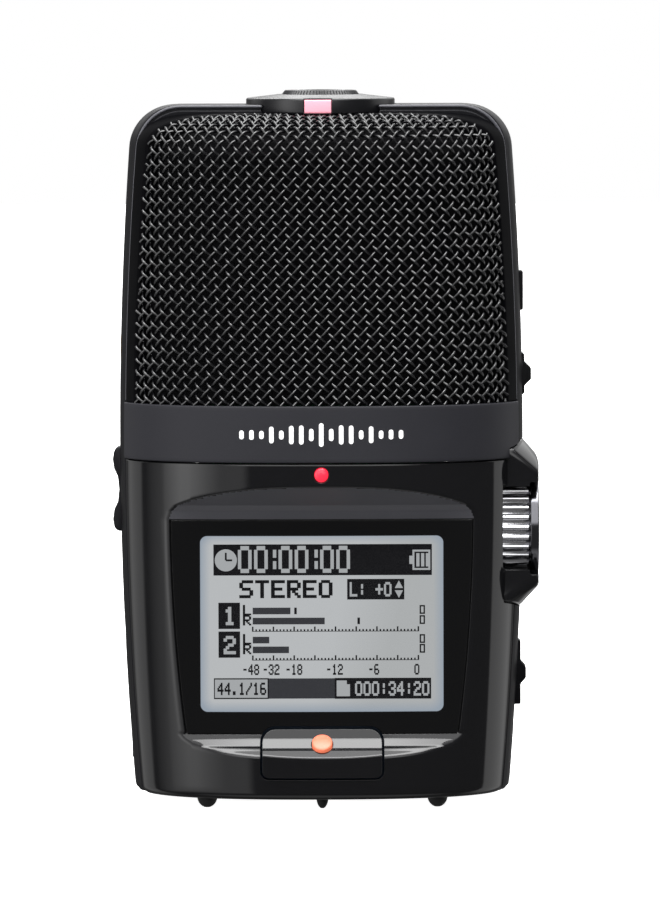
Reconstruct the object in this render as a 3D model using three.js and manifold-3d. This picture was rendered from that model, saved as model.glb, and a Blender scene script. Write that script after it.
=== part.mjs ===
// A handheld voice recorder with a domed microphone grille front and back, a turning mode dial on top,
// a tilted-in display, a record button, a gain wheel on its right side and a volume rocker on its left.
//
// Millimetres, +Z up. The recorder stands on its feet at z = 0, its front looks along -Y and its right
// side is +X. The origin is below the middle of the body, on the plane of the feet.

import * as THREE from "three";
import { ConvexGeometry } from "three/addons/geometries/ConvexGeometry.js";
import { mergeVertices } from "three/addons/utils/BufferGeometryUtils.js";
import Module from "manifold-3d";

const wasm = await Module();
wasm.setup();

// ---- Driving dimensions ----------------------------------------------------------------------------

const FRONT = -1;
const REAR = 1;
const FAR = 60; // beyond every face of the body
const GAP = 0.15; // between two fixed pieces
const LOOSE = 0.3; // around a piece that moves
const TILT_ROOM = 0.4; // around a key that tilts
const WALL = 2;

// Horizontal sections are superellipses. Width and depth swell towards the waist on long arcs.
const BODY = {
  halfWidth: 32.05,
  halfDepth: 21.3,
  waistZ: 57,
  widthSag: 7.5e-4,
  depthSag: 7.5e-4,
  bottomZ: 1.8,
  bottomRound: 1.2,
  topZ: 109.6,
  exponent: 2.5,
};
const OUTER_POINTS = 44;
const INNER_POINTS = 28;
const DOME_TOP = { widthIn: 5, widthDrop: 5, depthIn: 10, depthDrop: 5 };
const FRAME_TOP = { widthIn: 6.5, widthDrop: 6.5, depthIn: 1, depthDrop: 1 };

const FRAME = { halfDepth: 7.6, topZ: 110.85, ceilingZ: 106.8 };
const BAND = { bottomZ: 55.1, topZ: 64, proud: 0.3 };
const GRILLE = { edgeY: 10.9, thickness: 1, inset: 0.2 };
const FOAM = { inset: 1.5, thickness: 1.4 };

const DIAL = {
  radius: 11.8,
  bottomZ: 109.4,
  topZ: 111.9,
  edge: 0.4,
  shaftRadius: 3,
  shaftZ: 101.5,
  windowHalf: 2.3,
};
const CAP = { rootRadius: 6.2, topRadius: 5.4, topZ: 113.1, notches: 24, notch: [1.1, 0.5, 1.2] };

// The pocket in front of the display, in side view, from its top lip round its floor to its bottom lip.
const RECESS = {
  halfWidth: 24.3,
  hoodLip: [-24, 52.9],
  hoodFold: [-17.7, 48.7],
  floorTop: [-16.2, 45.9],
  floorBottom: [-15.6, 12],
  scoopFold: [-16.9, 10],
  scoopLip: [-24, 5.4],
};
const TRAY = { halfWidth: 26, backY: -12.8, bottomZ: 7.5, topZ: 54 };
const WINDOW = { thickness: 1, inset: 1.2, edge: 0.1 };
const LCD = { halfWidth: 19.8, bottomZ: 15, topZ: 44.4, frontY: -14.3, backY: -12.9 };

// The record button's side view, from its top edge down to where its front turns upright.
const REC = {
  halfWidth: 9.4,
  bottomZ: 5.4,
  topZ: 12.8,
  backY: -14,
  slope: [[-16.3, 12.8], [-16.6, 12.3], [-18.1, 10.35], [-20.6, 8.3]],
  proud: 0.35,
  lamp: { y: -18, z: 10.6, radius: 1.6, pocket: 4, sunk: 1.8 },
};
const FRONT_LAMP = { z: 53.2, radius: 1.1 };

const WHEEL = {
  y: -2.2,
  z: 44.05,
  radius: 8,
  innerX: 28.9,
  outerX: 33,
  capRadius: 8.4,
  capX: 34.4,
  ribs: 32,
  openHalf: 6.6,
  capOpenHalf: 7.4,
  shaftRadius: 1.5,
};

// The guard's outer corners in front view, across its middle and across its front and rear ends.
const GUARD = {
  innerX: 27.6,
  topZ: 59.2,
  bottomZ: 30.4,
  halfDepth: 11,
  middleHalfDepth: 5,
  middle: [[31.8, 59.2], [34.5, 53.8], [34.5, 34.2], [31.4, 30.4]],
  end: [[30.4, 57.2], [34.3, 53.2], [34.3, 34.8], [30, 32]],
};

const MENU = { z: 81.25, halfHeight: 3.15, halfDepth: 2.1, outerX: 32.1, innerX: 27.8, flange: 0.8 };
const PLAY = {
  z: 68,
  halfHeight: 3.4,
  halfDepth: 2.3,
  pivotX: 30,
  pinRadius: 0.5,
  plateX: 31,
  faceX: 32.3,
  tipX: 33.35,
  edge: 0.4,
  stemX: [26.5, 28.8],
  ear: { halfDepth: 2.2, thickness: 0.9, halfHeight: 1, beyondPin: 0.55 },
};
const POWER = {
  z: 20.35,
  halfHeight: 5.1,
  slotHalf: 7.7,
  halfDepth: 2.2,
  backX: 29.9,
  faceX: 31.65,
  tipX: 32.5,
  stemHalf: 1.1,
  travel: 2,
};
const POWER_SWITCH = { innerX: 26, outerX: 28.2, halfDepth: 3, bottomZ: 12.4, topZ: 28.3 };

// The rocker's side view from one end to its middle: x, and distance along Z from its pivot.
const ROCKER = {
  z: 49.8,
  halfHeight: 6.7,
  halfDepth: 2.3,
  backX: -30.4,
  half: [[-32.4, 6.7], [-33, 6.1], [-33.2, 4.8], [-33, 3.3], [-32.4, 2], [-32.2, 0]],
};

const JACK = { radius: 3, boreRadius: 1.8, blockX: -28, backX: -21.4, blockHalf: 3.1 };
const LINE_IN = { z: 71.6, faceX: -31.85 };
const PHONES = { z: 27.3, faceX: -31.25 };
const USB = {
  z: 11,
  halfHeight: 4,
  halfDepth: 2,
  faceX: -30.3,
  backX: -23,
  wall: 0.4,
  tongue: { faceX: -29.4, halfDepth: 0.6, halfHeight: 2.8 },
};

const TRIPOD = { y: 1.4, outerRadius: 4.2, boreRadius: 3.15, topZ: 9 };
const CARD_SLOT = { halfWidth: 12.6, nearY: -6.9, farY: -3.6, doorThickness: 1.2 };
const CARD = { halfWidth: 12, nearY: -6.5, farY: -4.4, bottomZ: 3.6, topZ: 35.6 };
const SOCKET = { halfWidth: 14, nearY: -7.3, farY: -3.4, bottomZ: 15, topZ: 33 };
const BOARD = { halfWidth: 18.4, frontY: -3.2, backY: -2, bottomZ: 12.5, topZ: 66 };

const DOOR = { halfWidth: 16.6, bottomZ: 5.2, topZ: 53.4, thickness: 1.6 };
const DOOR_GRIP = { count: 3, fromTop: 4, pitch: 1.6, halfWidth: 5, halfHeight: 0.4, depth: 0.4 };
const CELL = { radius: 7.1, x: 7.4, y: 10.4, bottomZ: 6, topZ: 56, tipRadius: 2.7, tipHeight: 1.2 };
const SPRING = { wideRadius: 3.4, narrowRadius: 2.2, length: 1.6, gap: 0.3 };
const BATTERY_TRAY = {
  halfWidth: 16.2,
  frontY: -1.7,
  rearY: 12,
  bottomZ: 4,
  topZ: 59.2,
  wall: 1,
};
const SCREW = {
  x: 21.5,
  zs: [18.5, 51.6],
  headRadius: 1.9,
  headHeight: 1.5,
  headY: 11.6,
  tipY: -11,
  shankRadius: 0.8,
  holeRadius: 1,
  driveLength: 2.4,
  driveWidth: 0.5,
  bossRadius: 2.9,
  bossEnds: { front: -8.2, rear: 17 },
};
const SPEAKER = { halfWidth: 9, nearY: 14.6, farY: 18.6, bottomZ: 57.4, topZ: 63.8 };
const SPEAKER_SLOTS = { count: 4, pitch: 1.6, halfWidth: 6, halfHeight: 0.4 };
const CAPSULE = { radius: 4.6, length: 5, rim: 0.7, dish: 0.5 };
const BRACKET = {
  halfWidth: 13,
  halfThickness: 1,
  bottomZ: 67,
  topZ: 98,
  shelfY: -9,
  shelfZ: [73.4, 74.6],
};
const ROTARY_SWITCH = { radius: 8, bottomZ: 99, socketZ: 101 };
const GAIN_POT = { radius: 5.5, innerX: 21.4, outerX: 27.3, socketX: 22.6 };
const FEET = [
  { name: "foot_front_left", x: -18.2, y: -12, radius: 1.6 },
  { name: "foot_front_right", x: 18.2, y: -12, radius: 1.6 },
  { name: "foot_front_centre", x: 0, y: -14, radius: 0.95 },
  { name: "foot_rear_left", x: -18.2, y: 12, radius: 1.6 },
  { name: "foot_rear_right", x: 18.2, y: 12, radius: 1.6 },
];

// ---- Materials -------------------------------------------------------------------------------------

function finish(color, roughness, metalness = 0, more = {}) {
  return new THREE.MeshStandardMaterial({ color, roughness, metalness, ...more });
}

const MATERIALS = {
  gloss: finish(0x0c0c0f, 0.12),
  satin: finish(0x16161a, 0.45),
  band: finish(0x38383d, 0.6),
  wire: finish(0x3c3c40, 0.35, 0.9),
  foam: finish(0x050505, 1),
  rubber: finish(0x0b0b0b, 0.8),
  chrome: finish(0xd8d8da, 0.18, 1),
  brass: finish(0xc2a04c, 0.3, 1),
  pink: finish(0xf4a9b4, 0.4),
  redLamp: finish(0xff4a50, 0.3),
  orangeLamp: finish(0xff7a55, 0.3),
  glass: finish(0x0a0a0c, 0.05, 0, { transparent: true, opacity: 0.35 }),
  lcd: finish(0xc3c9cc, 0.35),
  board: finish(0x0f4a2a, 0.5),
  cell: finish(0x8a8d90, 0.35, 0.6),
  steel: finish(0xa9abad, 0.3, 1),
};

// ---- Solids: closed geometries to manifold-3d solids and back --------------------------------------

function solid(geometry) {
  const loose = geometry.index ? geometry.toNonIndexed() : geometry;
  const bare = new THREE.BufferGeometry();
  bare.setAttribute("position", loose.getAttribute("position"));
  const merged = mergeVertices(bare, 1e-4);
  const mesh = new wasm.Mesh({
    numProp: 3,
    vertProperties: merged.attributes.position.array,
    triVerts: new Uint32Array(merged.index.array),
  });
  return new wasm.Manifold(mesh);
}

function geometryOf(body) {
  const mesh = body.getMesh();
  const positions = new Float32Array(mesh.numVert * 3);
  for (let i = 0; i < mesh.numVert; i++) {
    const start = i * mesh.numProp;
    positions.set(mesh.vertProperties.subarray(start, start + 3), i * 3);
  }
  const geometry = new THREE.BufferGeometry();
  geometry.setAttribute("position", new THREE.BufferAttribute(positions, 3));
  geometry.setIndex(new THREE.BufferAttribute(mesh.triVerts, 1));
  geometry.computeVertexNormals();
  return geometry;
}

function box(x0, x1, y0, y1, z0, z1) {
  const geometry = new THREE.BoxGeometry(x1 - x0, y1 - y0, z1 - z0);
  return solid(geometry.translate((x0 + x1) / 2, (y0 + y1) / 2, (z0 + z1) / 2));
}

// A cylinder or cone along one axis, between two places on that axis, centred on the other two.
function rod(axis, radius, from, to, a, b, segments = 20, farRadius = radius) {
  const geometry = new THREE.CylinderGeometry(farRadius, radius, to - from, segments);
  geometry.translate(0, (from + to) / 2, 0);
  if (axis === "x") geometry.rotateZ(-Math.PI / 2).translate(0, a, b);
  if (axis === "y") geometry.translate(a, 0, b);
  if (axis === "z") geometry.rotateX(Math.PI / 2).translate(a, b, 0);
  return solid(geometry);
}

// A prism between two places on an axis. Outline points are the other two coordinates, in X, Y, Z order.
function prism(axis, outline, from, to) {
  const points = outline.map(([u, v]) => new THREE.Vector2(u, v));
  const shape = new THREE.Shape(points);
  const geometry = new THREE.ExtrudeGeometry(shape, { depth: to - from, bevelEnabled: false });
  geometry.translate(0, 0, from);
  const turn = new THREE.Matrix4();
  if (axis === "x") turn.set(0, 0, 1, 0, 1, 0, 0, 0, 0, 1, 0, 0, 0, 0, 0, 1);
  if (axis === "y") turn.set(1, 0, 0, 0, 0, 0, -1, 0, 0, 1, 0, 0, 0, 0, 0, 1);
  if (axis === "y") geometry.translate(0, 0, -from - to);
  return solid(geometry.applyMatrix4(turn));
}

// A profile of radii and heights turned about +Y, closed on the axis.
function turned(profile, segments) {
  return new THREE.LatheGeometry(profile.map(([r, h]) => new THREE.Vector2(r, h)), segments);
}

function cut(body, ...tools) {
  return tools.reduce((left, tool) => left.subtract(tool), body);
}

function join(...bodies) {
  return bodies.reduce((sum, body) => sum.add(body));
}

// ---- The body's master surface ---------------------------------------------------------------------

// How far a quarter-round edge has pulled in: 0 where t <= 0, 1 where t = 1.
function quarterRound(t) {
  const clamped = Math.min(Math.max(t, 0), 1);
  return 1 - Math.sqrt(1 - clamped * clamped);
}

function ring(halfX, halfY, z, count) {
  const points = [];
  const power = 2 / BODY.exponent;
  for (let i = 0; i < count; i++) {
    const angle = (2 * Math.PI * i) / count;
    const c = Math.cos(angle);
    const s = Math.sin(angle);
    const x = halfX * Math.sign(c) * Math.abs(c) ** power;
    const y = halfY * Math.sign(s) * Math.abs(s) ** power;
    points.push(new THREE.Vector3(x, y, z));
  }
  return points;
}

function loft(rings) {
  const corners = [];
  const count = rings[0].length;
  const centre = (points) => new THREE.Vector3(0, 0, points[0].z);
  const low = rings[0];
  const high = rings[rings.length - 1];
  for (let i = 0; i < count; i++) {
    const j = (i + 1) % count;
    corners.push(centre(low), low[j], low[i], centre(high), high[i], high[j]);
    for (let k = 0; k + 1 < rings.length; k++) {
      const [a, b, c, d] = [rings[k][i], rings[k][j], rings[k + 1][j], rings[k + 1][i]];
      corners.push(a, b, c, a, c, d);
    }
  }
  return solid(new THREE.BufferGeometry().setFromPoints(corners));
}

// The whole body as one solid, pulled in by inset all round, with its rounded top at topZ.
function bodySolid(inset, top, topZ = BODY.topZ - inset, count = OUTER_POINTS) {
  const midLevels = 6;
  const bottomZ = BODY.bottomZ + inset;
  const shoulderZ = topZ - Math.max(top.widthDrop, top.depthDrop);
  const heights = [];
  for (const t of [0, 0.2, 0.6]) heights.push(bottomZ + BODY.bottomRound * t);
  for (let i = 0; i <= midLevels; i++) {
    const from = bottomZ + BODY.bottomRound;
    heights.push(from + ((shoulderZ - from) * i) / midLevels);
  }
  for (const t of [0.4, 0.7, 0.9, 0.98, 1]) heights.push(shoulderZ + (topZ - shoulderZ) * t);
  const rings = heights.map((z) => {
    const off = (z - BODY.waistZ) ** 2;
    const foot = BODY.bottomRound * quarterRound((bottomZ + BODY.bottomRound - z) / BODY.bottomRound);
    const rise = z - topZ;
    const widthIn = top.widthIn * quarterRound(rise / top.widthDrop + 1);
    const depthIn = top.depthIn * quarterRound(rise / top.depthDrop + 1);
    const halfX = BODY.halfWidth - BODY.widthSag * off - inset - foot - widthIn;
    const halfY = BODY.halfDepth - BODY.depthSag * off - inset - foot - depthIn;
    return ring(halfX, halfY, z, count);
  });
  return loft(rings);
}

// A slab on the front or rear side, between two distances from the middle plane.
function slab(side, near, far, z0, z1, halfX = FAR) {
  return box(-halfX, halfX, Math.min(side * near, side * far), Math.max(side * near, side * far), z0, z1);
}

const outer = bodySolid(0, DOME_TOP);
const cavity = bodySolid(WALL, DOME_TOP, BODY.topZ - WALL, INNER_POINTS);
const SEAM = FRAME.halfDepth + GAP;

// ---- Fixed shells ----------------------------------------------------------------------------------

function guardRoom() {
  const deep = GUARD.halfDepth + GAP;
  return box(GUARD.innerX - GAP, FAR, -deep, deep, GUARD.bottomZ - GAP, GUARD.topZ + GAP);
}

// A hole through the frame's left or right wall, with room round the control that fills it.
function sideOpening(side, { z, halfHeight, halfDepth }, room = LOOSE) {
  const inside = BODY.halfWidth - WALL * 3;
  const [x0, x1] = side < 0 ? [-FAR, -inside] : [inside, FAR];
  const deep = halfDepth + room;
  const high = halfHeight + room;
  return box(x0, x1, -deep, deep, z - high, z + high);
}

function jackOpening({ z }) {
  return rod("x", JACK.radius + GAP, -FAR, JACK.blockX + WALL, 0, z);
}

// The room the dial turns in.
function dialRoom() {
  return rod("z", DIAL.radius + LOOSE, DIAL.bottomZ - LOOSE, FAR * 2, 0, 0, 40);
}

// The closed loop between the two halves: both sides, the top under the dial and the base.
function midFrame() {
  const { halfDepth, topZ, ceilingZ } = FRAME;
  const loop = bodySolid(0, FRAME_TOP, topZ).intersect(slab(FRONT, -halfDepth, halfDepth, 0, FAR * 2));
  const hollow = bodySolid(WALL, FRAME_TOP, ceilingZ, INNER_POINTS);
  const powerTrack = box(POWER.backX - GAP, FAR, -POWER.halfDepth - LOOSE, POWER.halfDepth + LOOSE,
    POWER.z - POWER.slotHalf, POWER.z + POWER.slotHalf);
  const powerStem = { z: POWER.z, halfDepth: POWER.stemHalf, halfHeight: POWER.stemHalf + POWER.travel };
  const { halfWidth, nearY, farY } = CARD_SLOT;
  return cut(
    loop,
    hollow,
    guardRoom(),
    dialRoom(),
    rod("z", DIAL.shaftRadius + LOOSE, ceilingZ - WALL, topZ + WALL, 0, 0),
    sideOpening(1, MENU),
    sideOpening(1, PLAY, TILT_ROOM),
    powerTrack,
    sideOpening(1, powerStem),
    sideOpening(-1, ROCKER, TILT_ROOM),
    sideOpening(-1, USB, GAP),
    jackOpening(LINE_IN),
    jackOpening(PHONES),
    box(-halfWidth, halfWidth, nearY, farY, 0, WALL * 3),
    rod("z", TRIPOD.outerRadius + GAP, 0, WALL * 3, 0, TRIPOD.y),
  );
}

function screwBosses(side) {
  const { front, rear } = SCREW.bossEnds;
  const towards = side < 0 ? [TRAY.backY - GAP, front] : [SEAM, rear];
  const bosses = [];
  const holes = [];
  for (const x of [-SCREW.x, SCREW.x]) {
    for (const z of SCREW.zs) {
      bosses.push(rod("y", SCREW.bossRadius, ...towards, x, z, 14));
      holes.push(rod("y", SCREW.holeRadius, SCREW.tipY - 1, FAR, x, z, 10));
    }
  }
  return { bosses, holes };
}

// A flat floor under a folded hood, with a folded scoop below.
function displayRecess() {
  const { halfWidth, hoodLip, hoodFold, floorTop, floorBottom, scoopFold, scoopLip } = RECESS;
  const outline = [hoodLip, hoodFold, floorTop, floorBottom, scoopFold, scoopLip];
  return prism("x", outline, -halfWidth, halfWidth);
}

function windowBlank(room) {
  const [topY, topZ] = RECESS.floorTop;
  const [bottomY, bottomZ] = RECESS.floorBottom;
  const back = WINDOW.thickness + room;
  const low = bottomZ + WINDOW.edge - room;
  const high = topZ - WINDOW.edge + room;
  const outline = [[bottomY - room, low], [bottomY + back, low], [topY + back, high], [topY - room, high]];
  const blank = prism("x", outline, -RECESS.halfWidth, RECESS.halfWidth);
  return blank.intersect(bodySolid(WINDOW.inset - room, DOME_TOP));
}

function recOpening(room) {
  const wide = REC.halfWidth + room;
  return box(-wide, wide, -FAR, REC.backY + WALL, REC.bottomZ - room, REC.topZ + room);
}

// The mouth in the front of the body through which the gain wheel shows.
function wheelOpening() {
  const high = WHEEL.openHalf + LOOSE;
  return box(WHEEL.innerX - LOOSE, FAR, -FAR, 0, WHEEL.z - high, WHEEL.z + high);
}

function lcdRoom() {
  const wide = LCD.halfWidth + LOOSE;
  return box(-wide, wide, RECESS.floorBottom[0], -SEAM, LCD.bottomZ - LOOSE, LCD.topZ + LOOSE);
}

function frontHousing() {
  const shell = outer.subtract(cavity).intersect(slab(FRONT, SEAM, FAR, 0, BAND.bottomZ - GAP));
  const tray = outer.intersect(slab(FRONT, -TRAY.backY, FAR, TRAY.bottomZ, TRAY.topZ, TRAY.halfWidth));
  const { bosses, holes } = screwBosses(FRONT);
  return cut(
    join(shell, tray, ...bosses),
    displayRecess(),
    windowBlank(GAP),
    lcdRoom(),
    recOpening(LOOSE),
    rod("y", FRONT_LAMP.radius + GAP, -FAR, -BODY.halfDepth + WALL * 3, 0, FRONT_LAMP.z, 16),
    guardRoom(),
    wheelOpening(),
    ...holes,
  );
}

function rearHousing() {
  const shell = outer.subtract(cavity).intersect(slab(REAR, SEAM, FAR, 0, BAND.bottomZ - GAP));
  const { bosses, holes } = screwBosses(REAR);
  const sunk = SCREW.headRadius + LOOSE;
  const heads = SCREW.zs.flatMap((z) => [-SCREW.x, SCREW.x].map(
    (x) => rod("y", sunk, SCREW.headY - GAP, FAR, x, z, 16)));
  const { halfWidth, bottomZ, topZ } = DOOR;
  const doorway = slab(REAR, SEAM + GAP, FAR, bottomZ - LOOSE, topZ + LOOSE, halfWidth + LOOSE);
  return cut(join(shell, ...bosses).intersect(outer), doorway, guardRoom(), ...heads, ...holes);
}

function band(side) {
  const shell = bodySolid(-BAND.proud, DOME_TOP, BODY.topZ).subtract(cavity);
  const strip = shell.intersect(slab(side, SEAM, FAR, BAND.bottomZ, BAND.topZ));
  return strip.subtract(guardRoom());
}

function rearBand() {
  const { count, pitch, halfWidth, halfHeight } = SPEAKER_SLOTS;
  const middle = (BAND.bottomZ + BAND.topZ) / 2;
  const slots = [];
  for (let i = 0; i < count; i++) {
    const z = middle + pitch * (i - (count - 1) / 2);
    slots.push(slab(REAR, SEAM + WALL, FAR, z - halfHeight, z + halfHeight, halfWidth));
  }
  return cut(band(REAR), ...slots);
}

// The arched rim that carries the wire mesh.
function grilleFrame(side) {
  const rim = outer.subtract(cavity).intersect(slab(side, SEAM, GRILLE.edgeY, BAND.topZ + GAP, FAR * 2));
  return rim.subtract(dialRoom());
}

function dome(side, inset, thickness, count) {
  const inner = inset + thickness;
  const shell = bodySolid(inset, DOME_TOP, BODY.topZ - inset, count)
    .subtract(bodySolid(inner, DOME_TOP, BODY.topZ - inner, INNER_POINTS));
  return shell.intersect(slab(side, GRILLE.edgeY + GAP, FAR, BAND.topZ + GAP, FAR * 2)).subtract(dialRoom());
}

// A saddle round the gain wheel: taller and wider in the middle of the side than at its two ends.
function wheelGuard() {
  const { innerX, halfDepth, middleHalfDepth, middle, end } = GUARD;
  const corners = [];
  for (const [outline, depth] of [[middle, middleHalfDepth], [end, halfDepth]]) {
    const inner = [outline[0], outline.at(-1)].map(([, z]) => [innerX, z]);
    for (const [x, z] of [...outline, ...inner]) {
      corners.push(new THREE.Vector3(x, -depth, z), new THREE.Vector3(x, depth, z));
    }
  }
  const mouth = (x0, x1, half) => box(x0, x1, -FAR, WHEEL.y, WHEEL.z - half, WHEEL.z + half);
  return cut(
    solid(new ConvexGeometry(corners)),
    rod("x", WHEEL.capRadius + LOOSE, WHEEL.innerX - LOOSE, FAR, WHEEL.y, WHEEL.z, 36),
    rod("x", WHEEL.shaftRadius + LOOSE, 0, FAR, WHEEL.y, WHEEL.z, 16),
    mouth(WHEEL.innerX - LOOSE, FAR, WHEEL.openHalf),
    mouth(WHEEL.outerX - WINDOW.edge, FAR, WHEEL.capOpenHalf),
  );
}

// ---- Display ---------------------------------------------------------------------------------------

function displayWindow() {
  return windowBlank(0).subtract(recOpening(LOOSE + 0.2));
}

function lcdPanel() {
  return box(-LCD.halfWidth, LCD.halfWidth, LCD.frontY, LCD.backY, LCD.bottomZ, LCD.topZ);
}

function lampDome(radius, length) {
  const shoulder = [[radius, length - 0.4], [radius * 0.7, length - 0.1]];
  return turned([[0, 0], [radius, 0], ...shoulder, [0, length]], 12);
}

// ---- Controls --------------------------------------------------------------------------------------

function modeDial() {
  const { radius, bottomZ, topZ, edge, shaftRadius, shaftZ, windowHalf } = DIAL;
  const disc = turned([
    [0, bottomZ], [radius - edge, bottomZ], [radius, bottomZ + edge],
    [radius, topZ - edge], [radius - edge, topZ], [0, topZ],
  ], 40);
  const shaft = rod("z", shaftRadius, shaftZ, bottomZ + 1, 0, 0, 16);
  const window = box(-windowHalf, windowHalf, -FAR, -radius + 1, bottomZ - 1, topZ + 1);
  return join(solid(disc.rotateX(Math.PI / 2)), shaft).subtract(window);
}

// The lamp window let into the dial's rim: a block whose outer face follows the rim.
function dialPointer() {
  const { radius, bottomZ, topZ, windowHalf } = DIAL;
  const half = windowHalf - 0.2;
  const rim = rod("z", radius + 0.1, bottomZ + 0.2, topZ - 0.2, 0, 0, 40);
  return rim.intersect(box(-half, half, -FAR, -radius + 0.9, 0, FAR * 2));
}

function dialCap() {
  const cone = rod("z", CAP.rootRadius, DIAL.topZ + 0.02, CAP.topZ, 0, 0, 32, CAP.topRadius);
  const notches = [];
  for (let i = 0; i < CAP.notches; i++) {
    const angle = (2 * Math.PI * i) / CAP.notches;
    const notch = new THREE.BoxGeometry(...CAP.notch);
    notch.translate(CAP.rootRadius + 0.1, 0, CAP.topZ + 0.1).rotateZ(angle);
    notches.push(solid(notch));
  }
  return cut(cone, ...notches);
}

function toothedDisc(radius, depth, count, x0, x1) {
  const outline = [];
  for (let i = 0; i < count; i++) {
    for (const [turn, r] of [[-0.3, radius], [0.3, radius], [0.5, radius - depth]]) {
      const angle = (2 * Math.PI * (i + turn)) / count;
      outline.push([WHEEL.y + r * Math.cos(angle), WHEEL.z + r * Math.sin(angle)]);
    }
  }
  return prism("x", outline, x0, x1);
}

function gainWheel() {
  const rim = toothedDisc(WHEEL.radius, 0.35, WHEEL.ribs, WHEEL.innerX, WHEEL.outerX - 0.05);
  return rim.add(rod("x", WHEEL.shaftRadius, 23, WHEEL.innerX + 1, WHEEL.y, WHEEL.z, 16));
}

function gainWheelCap() {
  return rod("x", WHEEL.capRadius, WHEEL.outerX, WHEEL.capX, WHEEL.y, WHEEL.z, 36);
}

function recButton() {
  const { halfWidth, bottomZ, topZ, backY, slope, proud, lamp } = REC;
  const frontY = slope.at(-1)[0];
  const outline = [[backY, topZ], ...slope, [frontY, bottomZ], [backY, bottomZ]];
  const block = prism("x", outline, -halfWidth, halfWidth).intersect(bodySolid(-proud, DOME_TOP));
  const pocketRadius = lamp.radius + LOOSE;
  const pocket = new THREE.CylinderGeometry(pocketRadius, pocketRadius, lamp.pocket, 16);
  pocket.rotateX(-Math.PI / 4).translate(0, lamp.y, lamp.z);
  return block.subtract(solid(pocket));
}

function menuButton() {
  const { z, halfHeight, halfDepth, outerX, innerX, flange } = MENU;
  const key = box(innerX + flange, outerX, -halfDepth, halfDepth, z - halfHeight, z + halfHeight);
  const deep = halfDepth + flange;
  const high = halfHeight + flange;
  return key.add(box(innerX, innerX + 1, -deep, deep, z - high, z + high));
}

// The slide under the play lever, with two ears that hold the lever's pin.
function playStem() {
  const { z, pivotX, pinRadius, stemX, ear } = PLAY;
  const base = box(...stemX, -ear.halfDepth, ear.halfDepth, z - 3, z + 3);
  const ears = box(stemX[1] - 0.1, pivotX + ear.beyondPin, -ear.halfDepth, ear.halfDepth,
    z - ear.halfHeight, z + ear.halfHeight);
  const inside = ear.halfDepth - ear.thickness;
  const slot = box(stemX[1], FAR, -inside, inside, z - 3, z + 3);
  return cut(join(base, ears), slot, rod("y", pinRadius + GAP, -FAR, FAR, pivotX, z, 12));
}

function playLever() {
  const { z, pivotX, pinRadius, plateX, faceX, tipX, halfHeight, halfDepth, edge } = PLAY;
  const half = [
    [plateX, halfHeight], [faceX - edge, halfHeight], [faceX, halfHeight - edge],
    [faceX, 1.9], [tipX, 0.85],
  ];
  const lower = half.map(([x, dz]) => [x, z - dz]);
  const upper = half.map(([x, dz]) => [x, z + dz]).reverse();
  const plate = prism("y", [...lower, ...upper], -halfDepth, halfDepth);
  const web = box(pivotX - pinRadius, plateX + 0.1, -1, 1, z - 0.7, z + 0.7);
  return join(plate, web, rod("y", pinRadius, -2, 2, pivotX, z, 12));
}

function powerSlider() {
  const { z, halfHeight, halfDepth, backX, faceX, tipX, stemHalf } = POWER;
  const half = [[backX, halfHeight], [faceX, halfHeight], [faceX, 1.8], [tipX, 0.9]];
  const lower = half.map(([x, dz]) => [x, z - dz]);
  const upper = half.map(([x, dz]) => [x, z + dz]).reverse();
  const stemX = POWER_SWITCH.outerX + LOOSE;
  const stem = box(stemX, backX + 0.1, -stemHalf, stemHalf, z - stemHalf, z + stemHalf);
  return prism("y", [...lower, ...upper], -halfDepth, halfDepth).add(stem);
}

// The rocker dips between its two raised ends.
function volumeRocker() {
  const { z, halfHeight, halfDepth, backX, half } = ROCKER;
  const lower = half.map(([x, dz]) => [x, z - dz]);
  const upper = half.slice(0, -1).map(([x, dz]) => [x, z + dz]).reverse();
  const outline = [[backX, z - halfHeight], ...lower, ...upper, [backX, z + halfHeight]];
  return prism("y", outline.reverse(), -halfDepth, halfDepth);
}

// ---- Connectors, doors and fasteners ---------------------------------------------------------------

function jack(place) {
  const { radius, boreRadius, blockX, backX, blockHalf } = JACK;
  const barrel = rod("x", radius, place.faceX, blockX + 0.2, 0, place.z);
  const block = box(blockX, backX, -blockHalf, blockHalf, place.z - blockHalf, place.z + blockHalf);
  return join(barrel, block).subtract(rod("x", boreRadius, -FAR, backX - 1, 0, place.z, 16));
}

function usbPort() {
  const { z, halfHeight, halfDepth, faceX, backX, wall, tongue } = USB;
  const shell = box(faceX, backX, -halfDepth, halfDepth, z - halfHeight, z + halfHeight);
  const deep = halfDepth - wall;
  const high = halfHeight - wall;
  const mouth = box(-FAR, backX - 1, -deep, deep, z - high, z + high);
  const blade = box(tongue.faceX, backX - 0.5, -tongue.halfDepth, tongue.halfDepth,
    z - tongue.halfHeight, z + tongue.halfHeight);
  return shell.subtract(mouth).add(blade);
}

function tripodInsert() {
  const bush = rod("z", TRIPOD.outerRadius, BODY.bottomZ, TRIPOD.topZ, 0, TRIPOD.y, 24);
  return bush.subtract(rod("z", TRIPOD.boreRadius, 0, TRIPOD.topZ - 1, 0, TRIPOD.y));
}

function cardDoor() {
  const { halfWidth, nearY, farY, doorThickness } = CARD_SLOT;
  const wide = halfWidth - LOOSE;
  const topZ = BODY.bottomZ + doorThickness;
  return box(-wide, wide, nearY + LOOSE, farY - LOOSE, BODY.bottomZ, topZ);
}

function cardSocket() {
  const { halfWidth, nearY, farY, bottomZ, topZ } = SOCKET;
  const sleeve = box(-halfWidth, halfWidth, nearY, farY, bottomZ, topZ);
  const wide = CARD.halfWidth + LOOSE;
  return sleeve.subtract(box(-wide, wide, CARD.nearY - 0.2, CARD.farY + 0.2, 0, CARD.topZ + LOOSE));
}

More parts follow.
